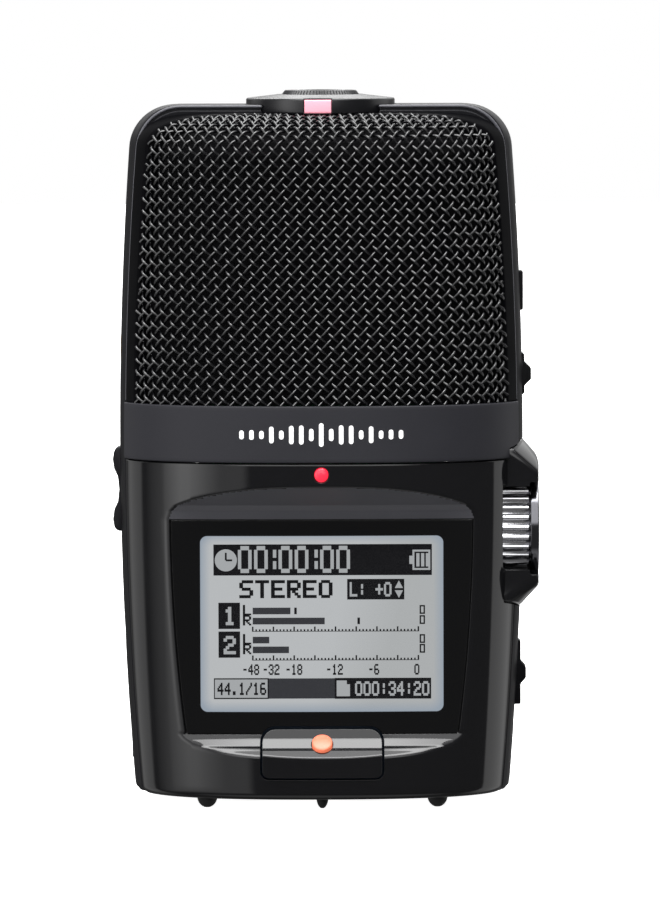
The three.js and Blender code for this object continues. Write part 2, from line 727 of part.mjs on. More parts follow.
function memoryCard() {
  const { halfWidth, nearY, farY, bottomZ, topZ } = CARD;
  return box(-halfWidth, halfWidth, nearY, farY, bottomZ, topZ);
}

function batteryDoor() {
  const shell = outer.subtract(bodySolid(DOOR.thickness, DOME_TOP));
  const panel = shell.intersect(slab(REAR, 10, FAR, DOOR.bottomZ, DOOR.topZ, DOOR.halfWidth));
  const { count, fromTop, pitch, halfWidth, halfHeight, depth } = DOOR_GRIP;
  const grips = [];
  for (let i = 0; i < count; i++) {
    const z = DOOR.topZ - fromTop - i * pitch;
    grips.push(slab(REAR, BODY.halfDepth - depth, FAR, z - halfHeight, z + halfHeight, halfWidth));
  }
  return cut(panel, ...grips);
}

// The open-backed trough that holds the two cells side by side.
function batteryTray() {
  const { halfWidth, frontY, rearY, bottomZ, topZ, wall } = BATTERY_TRAY;
  const top = topZ - wall;
  const bore = CELL.radius + LOOSE;
  const bores = [-CELL.x, CELL.x].map((x) => rod("z", bore, 0, top, x, CELL.y, 16));
  const mouth = CELL.x + bore;
  return cut(
    box(-halfWidth, halfWidth, frontY, rearY, bottomZ, topZ),
    ...bores,
    box(-mouth, mouth, CELL.y, FAR, 0, top),
    rod("z", TRIPOD.outerRadius + LOOSE, 0, TRIPOD.topZ + LOOSE, 0, TRIPOD.y),
  );
}

function batteryCell() {
  const { radius, bottomZ, topZ, tipRadius, tipHeight } = CELL;
  const half = (topZ - bottomZ) / 2;
  const shoulder = half - tipHeight;
  return turned([
    [0, -half], [radius, -half], [radius, shoulder],
    [tipRadius, shoulder], [tipRadius, half], [0, half],
  ], 16);
}

function contactSpring() {
  return new THREE.CylinderGeometry(SPRING.narrowRadius, SPRING.wideRadius, SPRING.length, 12);
}

function caseScrew() {
  const { headRadius, headHeight, headY, tipY, shankRadius, driveLength, driveWidth } = SCREW;
  const head = rod("y", headRadius, headY, headY + headHeight, 0, 0, 12);
  const shank = rod("y", shankRadius, tipY, headY + 0.1, 0, 0, 8);
  const driveY = headY + headHeight * 0.6;
  const long = driveLength / 2;
  const thin = driveWidth / 2;
  const across = box(-long, long, driveY, FAR, -thin, thin);
  const upright = box(-thin, thin, driveY, FAR, -long, long);
  return cut(join(head, shank), across, upright);
}

function foot(radius) {
  const height = BODY.bottomZ - 0.03;
  const side = [[radius * 0.6, 0], [radius * 0.92, height * 0.35], [radius, height]];
  return turned([[0, 0], ...side, [0, height]], 12).rotateX(Math.PI / 2);
}

// ---- Microphones and the rest of the inside --------------------------------------------------------

function capsule() {
  const { radius, length, rim, dish } = CAPSULE;
  const floor = length - dish;
  return turned([
    [0, 0], [radius, 0], [radius, length], [radius - rim, length], [radius - rim, floor], [0, floor],
  ], 14);
}

function micBracket() {
  const { halfWidth, halfThickness, bottomZ, topZ, shelfY, shelfZ } = BRACKET;
  const post = box(-halfWidth, halfWidth, -halfThickness, halfThickness, bottomZ, topZ);
  return post.add(box(-halfWidth, halfWidth, shelfY, halfThickness, ...shelfZ));
}

function rotarySwitch() {
  const { radius, bottomZ, socketZ } = ROTARY_SWITCH;
  const body = rod("z", radius, bottomZ, FRAME.ceilingZ - LOOSE, 0, 0, 24);
  return body.subtract(rod("z", DIAL.shaftRadius + LOOSE, socketZ, FAR * 2, 0, 0, 16));
}

function gainPot() {
  const { radius, innerX, outerX, socketX } = GAIN_POT;
  const body = rod("x", radius, innerX, outerX, WHEEL.y, WHEEL.z);
  return body.subtract(rod("x", WHEEL.shaftRadius + LOOSE, socketX, FAR, WHEEL.y, WHEEL.z, 16));
}

function powerSwitch() {
  const { innerX, outerX, halfDepth, bottomZ, topZ } = POWER_SWITCH;
  return box(innerX, outerX, -halfDepth, halfDepth, bottomZ, topZ);
}

function speaker() {
  const { halfWidth, nearY, farY, bottomZ, topZ } = SPEAKER;
  return slab(REAR, nearY, farY, bottomZ, topZ, halfWidth);
}

function mainBoard() {
  const { halfWidth, frontY, backY, bottomZ, topZ } = BOARD;
  return box(-halfWidth, halfWidth, frontY, backY, bottomZ, topZ);
}

// ---- Assembly --------------------------------------------------------------------------------------

const recorder = new THREE.Group();

function group(parent = recorder) {
  const made = new THREE.Group();
  parent.add(made);
  return made;
}

function add(parent, name, shape, material) {
  const geometry = shape.isBufferGeometry ? shape : geometryOf(shape);
  const mesh = new THREE.Mesh(geometry, MATERIALS[material]);
  mesh.name = name;
  parent.add(mesh);
  return mesh;
}

const housing = group();
add(housing, "mid_frame", midFrame(), "satin");
add(housing, "front_housing", frontHousing(), "gloss");
add(housing, "rear_housing", rearHousing(), "gloss");
add(housing, "front_band", band(FRONT), "band");
add(housing, "rear_band", rearBand(), "band");
add(housing, "front_grille_frame", grilleFrame(FRONT), "satin");
add(housing, "rear_grille_frame", grilleFrame(REAR), "satin");
add(housing, "front_grille", dome(FRONT, GRILLE.inset, GRILLE.thickness, OUTER_POINTS), "wire");
add(housing, "rear_grille", dome(REAR, GRILLE.inset, GRILLE.thickness, OUTER_POINTS), "wire");
add(housing, "front_wind_foam", dome(FRONT, FOAM.inset, FOAM.thickness, INNER_POINTS), "foam");
add(housing, "rear_wind_foam", dome(REAR, FOAM.inset, FOAM.thickness, INNER_POINTS), "foam");
add(housing, "wheel_guard", wheelGuard(), "gloss");
add(housing, "display_window", displayWindow(), "glass");
add(housing, "lcd_panel", lcdPanel(), "lcd");
add(housing, "main_board", mainBoard(), "board");
add(housing, "gain_potentiometer", gainPot(), "steel");
add(housing, "rotary_switch", rotarySwitch(), "satin");
add(housing, "power_switch", powerSwitch(), "satin");
add(housing, "speaker", speaker(), "satin");
add(housing, "line_in_jack", jack(LINE_IN), "brass");
add(housing, "phones_jack", jack(PHONES), "brass");
add(housing, "usb_port", usbPort(), "steel");
add(housing, "tripod_insert", tripodInsert(), "brass");
add(housing, "card_socket", cardSocket(), "steel");
add(housing, "memory_card", memoryCard(), "satin");
add(housing, "battery_tray", batteryTray(), "satin");
add(housing, "mic_bracket", micBracket(), "satin");

const lamp = add(housing, "front_lamp", lampDome(FRONT_LAMP.radius, 2.6), "redLamp");
lamp.position.set(0, -BODY.halfDepth + 2.4, FRONT_LAMP.z);
lamp.rotation.x = Math.PI;

const capsules = [
  { name: "mid_capsule", at: [0, -2.6, 90], turn: [Math.PI, 0, 0] },
  { name: "side_capsule_left", at: [-7, -5.9, 80], turn: [0, 0, Math.PI / 2] },
  { name: "side_capsule_right", at: [7, -5.9, 80], turn: [0, 0, -Math.PI / 2] },
  { name: "xy_capsule_left", at: [-6.5, 5, 88], turn: [0, 0, Math.PI / 4] },
  { name: "xy_capsule_right", at: [6.5, 5, 88], turn: [0, 0, -Math.PI / 4] },
];
for (const { name, at, turn } of capsules) {
  const mesh = add(housing, name, capsule(), "chrome");
  mesh.position.set(...at);
  mesh.rotation.set(...turn);
}

for (const [i, x] of [-CELL.x, CELL.x].entries()) {
  const side = ["left", "right"][i];
  const cell = add(housing, `battery_${side}`, batteryCell(), "cell");
  cell.position.set(x, CELL.y, (CELL.bottomZ + CELL.topZ) / 2);
  cell.rotation.x = i ? -Math.PI / 2 : Math.PI / 2;
  const spring = add(housing, `battery_spring_${side}`, contactSpring(), "steel");
  const off = SPRING.length / 2 + SPRING.gap;
  spring.position.set(x, CELL.y, i ? CELL.topZ + off : CELL.bottomZ - off);
  spring.rotation.x = i ? -Math.PI / 2 : Math.PI / 2;
}

for (const { name, x, y, radius } of FEET) {
  add(housing, name, foot(radius), "rubber").position.set(x, y, 0);
}

let screwNumber = 0;
for (const z of SCREW.zs) {
  for (const x of [-SCREW.x, SCREW.x]) {
    screwNumber += 1;
    add(housing, `case_screw_${screwNumber}`, caseScrew(), "steel").position.set(x, 0, z);
  }
}

const dial = group();
add(dial, "mode_dial", modeDial(), "satin");
add(dial, "dial_cap", dialCap(), "satin");
add(dial, "dial_pointer", dialPointer(), "pink");

const gain = group();
add(gain, "gain_wheel", gainWheel(), "chrome");
add(gain, "gain_wheel_cap", gainWheelCap(), "gloss");

const rec = group();
add(rec, "rec_button", recButton(), "gloss");
const recLamp = add(rec, "rec_lamp", lampDome(REC.lamp.radius, 2), "orangeLamp");
const sunk = REC.lamp.sunk * Math.SQRT1_2;
recLamp.position.set(0, REC.lamp.y + sunk, REC.lamp.z - sunk);
recLamp.rotation.x = (Math.PI * 3) / 4;

add(group(), "menu_button", menuButton(), "gloss");
const play = group();
add(play, "play_stem", playStem(), "satin");
add(group(play), "play_lever", playLever(), "gloss");
add(group(), "power_slider", powerSlider(), "satin");
add(group(), "volume_rocker", volumeRocker(), "satin");
add(group(), "battery_door", batteryDoor(), "gloss");
add(group(), "card_door", cardDoor(), "satin");

export default recorder;
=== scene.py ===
"""The looks of a handheld voice recorder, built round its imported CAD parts.

Lengths are millimetres in this script and metres in Blender. The recorder stands on z = 0 with its
front towards -Y and its right side towards +X. Places come from the boxes of the CAD nodes wherever
a node has the same edge, and the curved body follows the same superellipse sections as the CAD.
"""

import math

import bmesh
import bpy
import numpy as np
from mathutils import Matrix, Vector


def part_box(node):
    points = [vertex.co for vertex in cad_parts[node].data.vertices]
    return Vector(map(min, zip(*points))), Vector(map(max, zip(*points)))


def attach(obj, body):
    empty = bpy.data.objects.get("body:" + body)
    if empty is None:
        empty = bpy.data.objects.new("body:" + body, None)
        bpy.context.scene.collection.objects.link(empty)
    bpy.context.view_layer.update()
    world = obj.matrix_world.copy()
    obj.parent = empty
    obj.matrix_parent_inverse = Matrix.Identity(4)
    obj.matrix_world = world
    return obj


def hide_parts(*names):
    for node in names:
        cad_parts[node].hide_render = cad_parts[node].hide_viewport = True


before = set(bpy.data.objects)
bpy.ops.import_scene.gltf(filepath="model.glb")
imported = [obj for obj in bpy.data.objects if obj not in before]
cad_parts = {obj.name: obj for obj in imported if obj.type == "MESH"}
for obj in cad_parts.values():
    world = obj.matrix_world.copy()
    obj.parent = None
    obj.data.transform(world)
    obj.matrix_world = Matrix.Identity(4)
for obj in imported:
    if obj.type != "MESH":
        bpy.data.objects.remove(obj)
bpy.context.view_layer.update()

# ---- Measures --------------------------------------------------------------------------------------

MM = 0.001
FRONT, REAR = -1, 1
POWER = 2.5  # the superellipse's exponent
WAIST_Z = 57
HALF_WIDTH, HALF_DEPTH = 32.05, 21.3
SAG = 7.5e-4  # how fast the body narrows away from the waist
BOTTOM_Z, TOP_Z = 1.8, 109.6
FAR = 2 * TOP_Z  # beyond everything
BOTTOM_ROUND = 1.2
DOME = {"width_in": 5, "width_drop": 5, "depth_in": 10, "depth_drop": 5}
LOOP = {"width_in": 6.5, "width_drop": 6.5, "depth_in": 1, "depth_drop": 1}
SHELL = 1.6  # wall of the drawn housings
RIM_WALL = 2
EDGE = 0.22  # rounding of the edges between shells

# The display recess in side view: height, and distance in front of the middle plane.
RECESS_SIDE = [(5.4, 22.5), (9.95, 18.1), (10.2, 17.75), (11.3, 16.83), (12, 16.4),
               (45.9, 16.9), (47.3, 17.2), (48.2, 17.7), (48.7, 18.25), (52.9, 23)]
FLOOR_SIDE = RECESS_SIDE[4:6]
FLOOR_CURVE = 0.0016  # how fast the recess falls back towards its sides
BOWL, BOWL_TOP = 0.0016, 12.5  # how much faster at its foot, and where the foot begins
WINDOW_MARGIN = 0.35  # from the window's sides to the body's outline


def span(node):
    """Lowest and highest corner of a CAD node, in millimetres."""
    low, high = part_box(node)
    return np.array(low) / MM, np.array(high) / MM


def box_middle(low, high, first, second):
    """The middle of a box, as its coordinates on two axes."""
    return (low[first] + high[first]) / 2, (low[second] + high[second]) / 2


# ---- Objects and meshes ------------------------------------------------------------------------------


def make(name, vertices, faces, material=None):
    """A mesh object from points in millimetres, smooth except where it folds sharply."""
    mesh = bpy.data.meshes.new(name)
    mesh.from_pydata((np.asarray(vertices, float) * MM).tolist(), [], faces)
    thing = bpy.data.objects.new(name, mesh)
    bpy.context.scene.collection.objects.link(thing)
    if material:
        mesh.materials.append(material)
    weld(thing)
    soften(thing)
    return thing


def weld(thing):
    """Joins points that coincide and turns every face outwards."""
    work = bmesh.new()
    work.from_mesh(thing.data)
    bmesh.ops.remove_doubles(work, verts=work.verts, dist=2e-3 * MM)
    bmesh.ops.dissolve_degenerate(work, edges=work.edges, dist=1e-3 * MM)
    bmesh.ops.recalc_face_normals(work, faces=work.faces)
    work.to_mesh(thing.data)
    work.free()


def soften(thing, sharp_deg=35):
    thing.data.shade_smooth()
    thing.data.set_sharp_from_angle(angle=math.radians(sharp_deg))


def settle(thing):
    """Bakes the modifiers of an object into its mesh."""
    bpy.context.view_layer.update()
    graph = bpy.context.evaluated_depsgraph_get()
    baked = bpy.data.meshes.new_from_object(thing.evaluated_get(graph))
    thing.modifiers.clear()
    thing.data = baked


def carve(thing, *tools, keep=False):
    """Cuts closed tools out of a closed object, or with keep leaves only what they share."""
    for tool in tools:
        modifier = thing.modifiers.new("carve", "BOOLEAN")
        modifier.operation = "INTERSECT" if keep else "DIFFERENCE"
        modifier.solver = "EXACT"
        modifier.object = tool
    settle(thing)
    for tool in tools:
        bpy.data.objects.remove(tool)
    weld(thing)
    soften(thing)


def round_edges(thing, width, angle_deg=30, segments=3):
    modifier = thing.modifiers.new("bevel", "BEVEL")
    modifier.width = width * MM
    modifier.segments = segments
    modifier.limit_method = "ANGLE"
    modifier.angle_limit = math.radians(angle_deg)
    modifier.harden_normals = True
    settle(thing)
    return thing


def grid_faces(rows, columns, start=0, closed=False):
    """Quads between the points of a grid; a closed grid joins its last column to its first."""
    faces = []
    for r in range(rows - 1):
        for c in range(columns if closed else columns - 1):
            d = (c + 1) % columns
            a, b = start + r * columns, start + (r + 1) * columns
            faces.append((a + c, a + d, b + d, b + c))
    return faces


def thick_sheet(name, outer, inner, material=None):
    """A closed solid between two grids of points of the same shape."""
    rows, columns, _ = outer.shape
    points = np.concatenate([outer.reshape(-1, 3), inner.reshape(-1, 3)])
    far = rows * columns
    faces = grid_faces(rows, columns)
    faces += [face[::-1] for face in grid_faces(rows, columns, far)]
    rim = [c for c in range(columns)]
    rim += [r * columns + columns - 1 for r in range(1, rows)]
    rim += [(rows - 1) * columns + c for c in range(columns - 2, -1, -1)]
    rim += [r * columns for r in range(rows - 2, 0, -1)]
    for a, b in zip(rim, rim[1:] + rim[:1]):
        faces.append((a, a + far, b + far, b))
    return make(name, points, faces, material)


def sweep(name, rings, material=None, closed=False):
    """A solid through a list of closed rings of points; open ends are capped."""
    rings = np.asarray(rings, float)
    count, columns, _ = rings.shape
    faces = grid_faces(count, columns, closed=True)
    if closed:
        last = (count - 1) * columns
        faces += [(last + c, last + (c + 1) % columns, (c + 1) % columns, c) for c in range(columns)]
    else:
        faces += [tuple(range(columns))[::-1], tuple((count - 1) * columns + c for c in range(columns))]
    return make(name, rings.reshape(-1, 3), faces, material)


AXES = {"x": (1, 2, 0), "y": (0, 2, 1), "z": (0, 1, 2)}


def along(axis, first, second, position):
    """Points from their two coordinates across an axis and their place on it."""
    stacked = np.stack(np.broadcast_arrays(first, second, position), axis=-1)
    points = np.empty_like(stacked, dtype=float)
    for source, target in enumerate(AXES[axis]):
        points[..., target] = stacked[..., source]
    return points


def lathe(name, axis, profile, centre, material=None, segments=96, closed=False):
    """Turns a profile of (radius, place on the axis) pairs about an axis through centre."""
    turn = np.linspace(0, 2 * math.pi, segments, endpoint=False)
    rings = []
    for radius, place in profile:
        rings.append(along(axis, centre[0] + radius * np.cos(turn), centre[1] + radius * np.sin(turn), place))
    return sweep(name, rings, material, closed)


def rod(axis, radius, start, end, centre, segments=64):
    return lathe("rod", axis, [(radius, start), (radius, end)], centre, segments=segments)


def prism(axis, outline, start, end, name="prism", material=None):
    """An outline of two coordinates across an axis, carried from one place to another on it."""
    outline = np.asarray(outline, float)
    rings = [along(axis, outline[:, 0], outline[:, 1], place) for place in (start, end)]
    return sweep(name, rings, material)


def block(low, high):
    (x0, y0, z0), (x1, y1, z1) = low, high
    return prism("z", [(x0, y0), (x1, y0), (x1, y1), (x0, y1)], z0, z1, "block")


CORNER_STEPS = 8  # points on a rounded corner


def rounded_outline(x0, x1, z0, z1, low_radius, high_radius):
    """A rectangle whose lower and upper corners have their own radii."""
    points = []
    corners = [(x1, z0, low_radius, -90), (x1, z1, high_radius, 0), (x0, z1, high_radius, 90),
               (x0, z0, low_radius, 180)]
    for x, z, radius, first in corners:
        centre_x = x - math.copysign(radius, x - (x0 + x1) / 2)
        centre_z = z - math.copysign(radius, z - (z0 + z1) / 2)
        for angle in np.radians(np.linspace(first, first + 90, CORNER_STEPS)):
            points.append((centre_x + radius * math.cos(angle), centre_z + radius * math.sin(angle)))
    return points


def merge(name, things, material=None):
    """One object that holds the meshes of several."""
    work = bmesh.new()
    for thing in things:
        work.from_mesh(thing.data)
        bpy.data.objects.remove(thing)
    mesh = bpy.data.meshes.new(name)
    work.to_mesh(mesh)
    work.free()
    merged = bpy.data.objects.new(name, mesh)
    bpy.context.scene.collection.objects.link(merged)
    if material:
        mesh.materials.clear()
        mesh.materials.append(material)
    return merged


def copy_node(node, name, material, bevel=0.15):
    """A piece with a CAD node's shape, its flat faces whole again and its edges rounded."""
    thing = bpy.data.objects.new(name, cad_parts[node].data.copy())
    bpy.context.scene.collection.objects.link(thing)
    weld(thing)
    work = bmesh.new()
    work.from_mesh(thing.data)
    bmesh.ops.dissolve_limit(work, angle_limit=math.radians(2), verts=work.verts, edges=work.edges)
    work.to_mesh(thing.data)
    work.free()
    thing.data.materials.clear()
    thing.data.materials.append(material)
    round_edges(thing, bevel)
    soften(thing)
    return thing


def piece(thing, body, slot, *nodes):
    """Hands a finished object over as a piece of the recorder."""
    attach(thing, body)
    if nodes:
        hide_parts(*nodes)
    return thing


# ---- The body's master surface -------------------------------------------------------------------------


def quarter_round(t):
    return 1 - np.sqrt(1 - np.clip(t, 0, 1) ** 2)


def half_sizes(z, inset=0, top=DOME, top_z=TOP_Z):
    """Half width and half depth of the section at a height, pulled in all round by inset."""
    roof = top_z - inset
    floor = BOTTOM_Z + inset
    sag = SAG * (z - WAIST_Z) ** 2
    foot = BOTTOM_ROUND * quarter_round((floor + BOTTOM_ROUND - z) / BOTTOM_ROUND)
    width_in = top["width_in"] * quarter_round((z - roof) / top["width_drop"] + 1)
    depth_in = top["depth_in"] * quarter_round((z - roof) / top["depth_drop"] + 1)
    half_x = HALF_WIDTH - sag - inset - foot - width_in
    half_y = HALF_DEPTH - sag - inset - foot - depth_in
    return half_x, half_y


def far_side(across, half_across, half_other):
    """The other coordinate of the superellipse where one coordinate is given."""
    share = np.clip(np.abs(across) / np.maximum(half_across, 1e-6), 0, 1)
    return half_other * (1 - share**POWER) ** (1 / POWER)


def depth_at(x, z, inset=0):
    half_x, half_y = half_sizes(z, inset)
    return far_side(x, half_x, half_y)


def width_at(depth, z, inset=0):
    half_x, half_y = half_sizes(z, inset)
    return far_side(depth, half_y, half_x)


def smooth_min(a, b, radius):
    mix = np.clip(0.5 + 0.5 * (b - a) / radius, 0, 1)
    return b + (a - b) * mix - radius * mix * (1 - mix)


def softened(z, side_view, fold):
    """The depth at a height of a side view of (height, depth) points, its folds rounded over a distance."""
    heights, depths = np.array(side_view).T
    return np.mean([np.interp(z + near, heights, depths) for near in np.linspace(-fold, fold, 9)], axis=0)


def recess_depth(x, z):
    """How far in front of the middle plane the display recess lies; its foot is a bowl."""
    fall = FLOOR_CURVE + BOWL * np.clip((BOWL_TOP - z) / 3, 0, 1)
    return softened(z, RECESS_SIDE, 0.1) - fall * x**2


ARC = np.linspace(0, math.pi / 2, 5)
SEAM_Y = span("front_housing")[1][1] * FRONT  # where the shells meet the middle frame


SIDE_COLUMNS = 8  # columns of points between the middle of a face and its rounded edge


def half_section(z, inset, middle_x):
    """Points (x, depth) of half a section, from one seam round to the other, its ends rounded."""
    half_x, half_y = half_sizes(z, inset)
    edge_depth = SEAM_Y + EDGE * (1 - np.cos(ARC))
    edge_in = EDGE * (1 - np.sin(ARC))
    edge_x = far_side(edge_depth, half_y - edge_in, half_x - edge_in)
    start = math.asin((edge_depth[-1] / half_y) ** (POWER / 2))
    end = math.acos((middle_x[-1] / half_x) ** (POWER / 2))
    turn = np.linspace(start, end, SIDE_COLUMNS + 2)[1:-1]
    side_x = half_x * np.cos(turn) ** (2 / POWER)
    side_depth = half_y * np.sin(turn) ** (2 / POWER)
    right_x = np.concatenate([edge_x, side_x])
    right_depth = np.concatenate([edge_depth, side_depth])
    x = np.concatenate([-right_x, middle_x, right_x[::-1]])
    depth = np.concatenate([right_depth, far_side(middle_x, half_x, half_y), right_depth[::-1]])
    return x, depth


def side_sheet(side, rows, middle_x, recessed=False, wall=0):
    """A grid of points over the front or rear face. A row is (height, inset, pull): a pull above 0 draws
    the row in under the base, towards the seam."""
    grid = []
    for z, inset, pull in rows:
        z = np.interp(z, [BOTTOM_Z, BOTTOM_Z + 4, FAR], [BOTTOM_Z + wall, BOTTOM_Z + 4, FAR])
        x, depth = half_section(z, inset + wall, middle_x)
        if recessed:
            depth = smooth_min(depth, recess_depth(x, z) - wall, 0.3)
            depth = np.maximum(depth, SEAM_Y)
        depth = depth + (SEAM_Y - depth) * pull
        grid.append(np.stack([x, side * depth, np.full_like(x, z)], axis=-1))
    return np.array(grid)


def rounded_rows(low, high, inner_heights):
    """Rows between two heights whose ends are rounded like the edges between shells."""
    rows = [(low + EDGE * (1 - math.cos(a)), EDGE * (1 - math.sin(a)), 0) for a in ARC]
    rows += [(z, 0, 0) for z in inner_heights]
    rows += [(high - EDGE * (1 - math.cos(a)), EDGE * (1 - math.sin(a)), 0) for a in ARC[::-1]]
    return rows


def housing_rows(top, fine):
    """Rows from under the base up to the band; fine lists (from, to) heights that need detail."""
    rows = [(BOTTOM_Z, 0, pull) for pull in (1, 0.66, 0.33)]
    for angle in np.linspace(0, math.pi / 2, 7):
        rows.append((BOTTOM_Z + BOTTOM_ROUND * (1 - math.cos(angle)), 0, 0))
    z = rows[-1][0]
    while z < top - 1.2:
        z += 0.12 if any(low < z < high for low, high in fine) else 0.9
        rows.append((z, 0, 0))
    rows += [(top - EDGE * (1 - math.cos(a)), EDGE * (1 - math.sin(a)), 0) for a in ARC[::-1]]
    return rows

# ---- Materials ---------------------------------------------------------------------------------------


def tint(code):
    """A colour written as in a paint program, in the renderer's linear values."""
    shares = [int(code[i : i + 2], 16) / 255 for i in (1, 3, 5)]
    return [s / 12.92 if s < 0.04045 else ((s + 0.055) / 1.055) ** 2.4 for s in shares] + [1]


def add_node(tree, kind, inputs, **settings):
    """A shader node; an input is a value or another node's output."""
    made = tree.nodes.new("ShaderNode" + kind)
    for key, value in settings.items():
        setattr(made, key, value)
    for socket, value in inputs.items():
        if isinstance(value, bpy.types.NodeSocket):
            tree.links.new(value, made.inputs[socket])
        else:
            made.inputs[socket].default_value = value
    return made


def math_node(tree, operation, *values, clamp=False):
    inputs = dict(enumerate(values))
    return add_node(tree, "Math", inputs, operation=operation, use_clamp=clamp).outputs[0]


def blend_colours(tree, factor, low, high):
    made = add_node(tree, "Mix", {0: factor, 6: low, 7: high}, data_type="RGBA")
    return made.outputs[2]


def place_on_body(tree):
    """The shaded point's place in the recorder's frame, in millimetres."""
    spot = add_node(tree, "TexCoord", {}).outputs["Object"]
    return add_node(tree, "VectorMath", {0: spot, 3: 1 / MM}, operation="SCALE").outputs[0]


def noise(tree, spot, size, detail=3, stretch=(1, 1, 1)):
    """Noise whose features are about size millimetres across, drawn out by stretch."""
    scaled = add_node(tree, "Mapping", {"Vector": spot, "Scale": [1 / s for s in stretch]}).outputs[0]
    made = add_node(tree, "TexNoise", {"Vector": scaled, "Scale": 1 / size, "Detail": detail})
    return made.outputs["Fac"]


def spread(tree, value, low, high):
    """Noise, which keeps near the middle of 0 to 1, as a range of values."""
    made = add_node(tree, "MapRange", {0: value, 1: 0.3, 2: 0.7, 3: low, 4: high})
    return made.outputs[0]


def finish(name, colour, roughness, metallic=0, **look):
    """A material with grain in its colour, gloss and relief, and edges that catch the light; its edges are
    lightened, partly as worn paint and partly as a painted highlight.

    grain is the size of the fine features in millimetres and bump is their height; relief is not used. mottle
    and patchy say how far the colour and the roughness stray.
    """
    material = bpy.data.materials.new(name)
    material.use_nodes = True
    tree = material.node_tree
    shader = tree.nodes["Principled BSDF"]
    spot = place_on_body(tree)
    stretch = look.get("stretch", (1, 1, 1))
    fine = noise(tree, spot, look.get("grain", 0.3), stretch=stretch)
    broad = noise(tree, spot, look.get("cloud", 9), detail=5)
    mottle = look.get("mottle", 0.12)
    base = tint(colour)
    dark = [c * (1 - mottle) for c in base[:3]] + [1]
    light = [c * (1 + mottle) for c in base[:3]] + [1]
    mixed = math_node(tree, "MULTIPLY_ADD", fine, 0.6, math_node(tree, "MULTIPLY", broad, 0.4))
    paint = blend_colours(tree, spread(tree, mixed, 0, 1), dark, light)
    rounding = add_node(tree, "Bevel", {"Radius": look.get("edge", 0.12) * MM}, samples=4).outputs[0]
    # painted highlight and wear: rounded edges are lightened towards a pale grey, partly as worn paint and
    # partly as a painted highlight where they catch the light
    wear = look.get("wear", 0)
    if wear:
        flat = add_node(tree, "NewGeometry", {}).outputs["Normal"]
        turned = add_node(tree, "VectorMath", {0: flat, 1: rounding}, operation="DOT_PRODUCT")
        turned = turned.outputs["Value"]
        edge_wear_and_sheen_share = add_node(tree, "MapRange", {0: turned, 1: 1, 2: 0.8, 3: 0, 4: wear}).outputs[0]
        paint = blend_colours(tree, edge_wear_and_sheen_share, paint, tint(look.get("worn_colour", "#8a8a90")))
    patchy = look.get("patchy", 0.04)
    gloss = spread(tree, broad, max(roughness - patchy, 0.02), roughness + patchy)
    relief = add_node(tree, "Bump", {
        "Height": fine, "Distance": look.get("bump", 0.004) * MM, "Strength": 1, "Normal": rounding,
    }).outputs[0]
    for socket, output in (("Base Color", paint), ("Roughness", gloss), ("Normal", relief)):
        tree.links.new(output, shader.inputs[socket])
    shader.inputs["Metallic"].default_value = metallic
    shader.inputs["Specular IOR Level"].default_value = look.get("specular", 0.5)
    return material


def glow(material, colour, strength):
    shader = material.node_tree.nodes["Principled BSDF"]
    shader.inputs["Emission Color"].default_value = tint(colour)
    shader.inputs["Emission Strength"].default_value = strength
    return material


def rounded_mask(tree, spot, half_width, low_z, high_z, radius, blur):
    """1 inside a rounded rectangle in front view and 0 outside it, over a soft edge."""
    middle = (low_z + high_z) / 2
    axes = add_node(tree, "SeparateXYZ", {0: spot}).outputs
    beyond = []
    for value, centre, half in ((axes[0], 0, half_width), (axes[2], middle, (high_z - low_z) / 2)):
        away = math_node(tree, "ABSOLUTE", math_node(tree, "SUBTRACT", value, centre))
        beyond.append(math_node(tree, "MAXIMUM", math_node(tree, "SUBTRACT", away, half - radius), 0))
    squares = [math_node(tree, "MULTIPLY", b, b) for b in beyond]
    distance = math_node(tree, "SQRT", math_node(tree, "ADD", *squares))
    return add_node(tree, "MapRange", {0: distance, 1: radius + blur, 2: radius, 3: 0, 4: 1}).outputs[0]


SCREEN = {"half_width": 19.1, "low_z": 15.5, "high_z": 43.3, "radius": 1.1}


def window_material():
    """Glossy black at the border, and clear with the same gloss over the screen."""
    material = finish("window", "#0a0a0b", 0.05, patchy=0.015, bump=0.0004, mottle=0.05, edge=0.08)
    tree = material.node_tree
    black = tree.nodes["Principled BSDF"]
    clear = add_node(tree, "BsdfTransparent", {}).outputs[0]
    shine = add_node(tree, "BsdfGlossy", {"Roughness": 0.05}).outputs[0]
    mirror = add_node(tree, "Fresnel", {"IOR": 1.5}).outputs[0]
    behind = add_node(tree, "NewGeometry", {}).outputs["Backfacing"]
    mirror = math_node(tree, "MULTIPLY", mirror, math_node(tree, "SUBTRACT", 1, behind))
    glass = add_node(tree, "MixShader", {0: mirror, 1: clear, 2: shine}).outputs[0]
    mask = rounded_mask(tree, place_on_body(tree), blur=0.08, **SCREEN)
    both = add_node(tree, "MixShader", {0: mask, 1: black.outputs[0], 2: glass}).outputs[0]
    tree.links.new(both, tree.nodes["Material Output"].inputs["Surface"])
    return material


# painted light: the reflective display and all its print glow at this strength instead of being lit
SCREEN_GLOW = 0.95


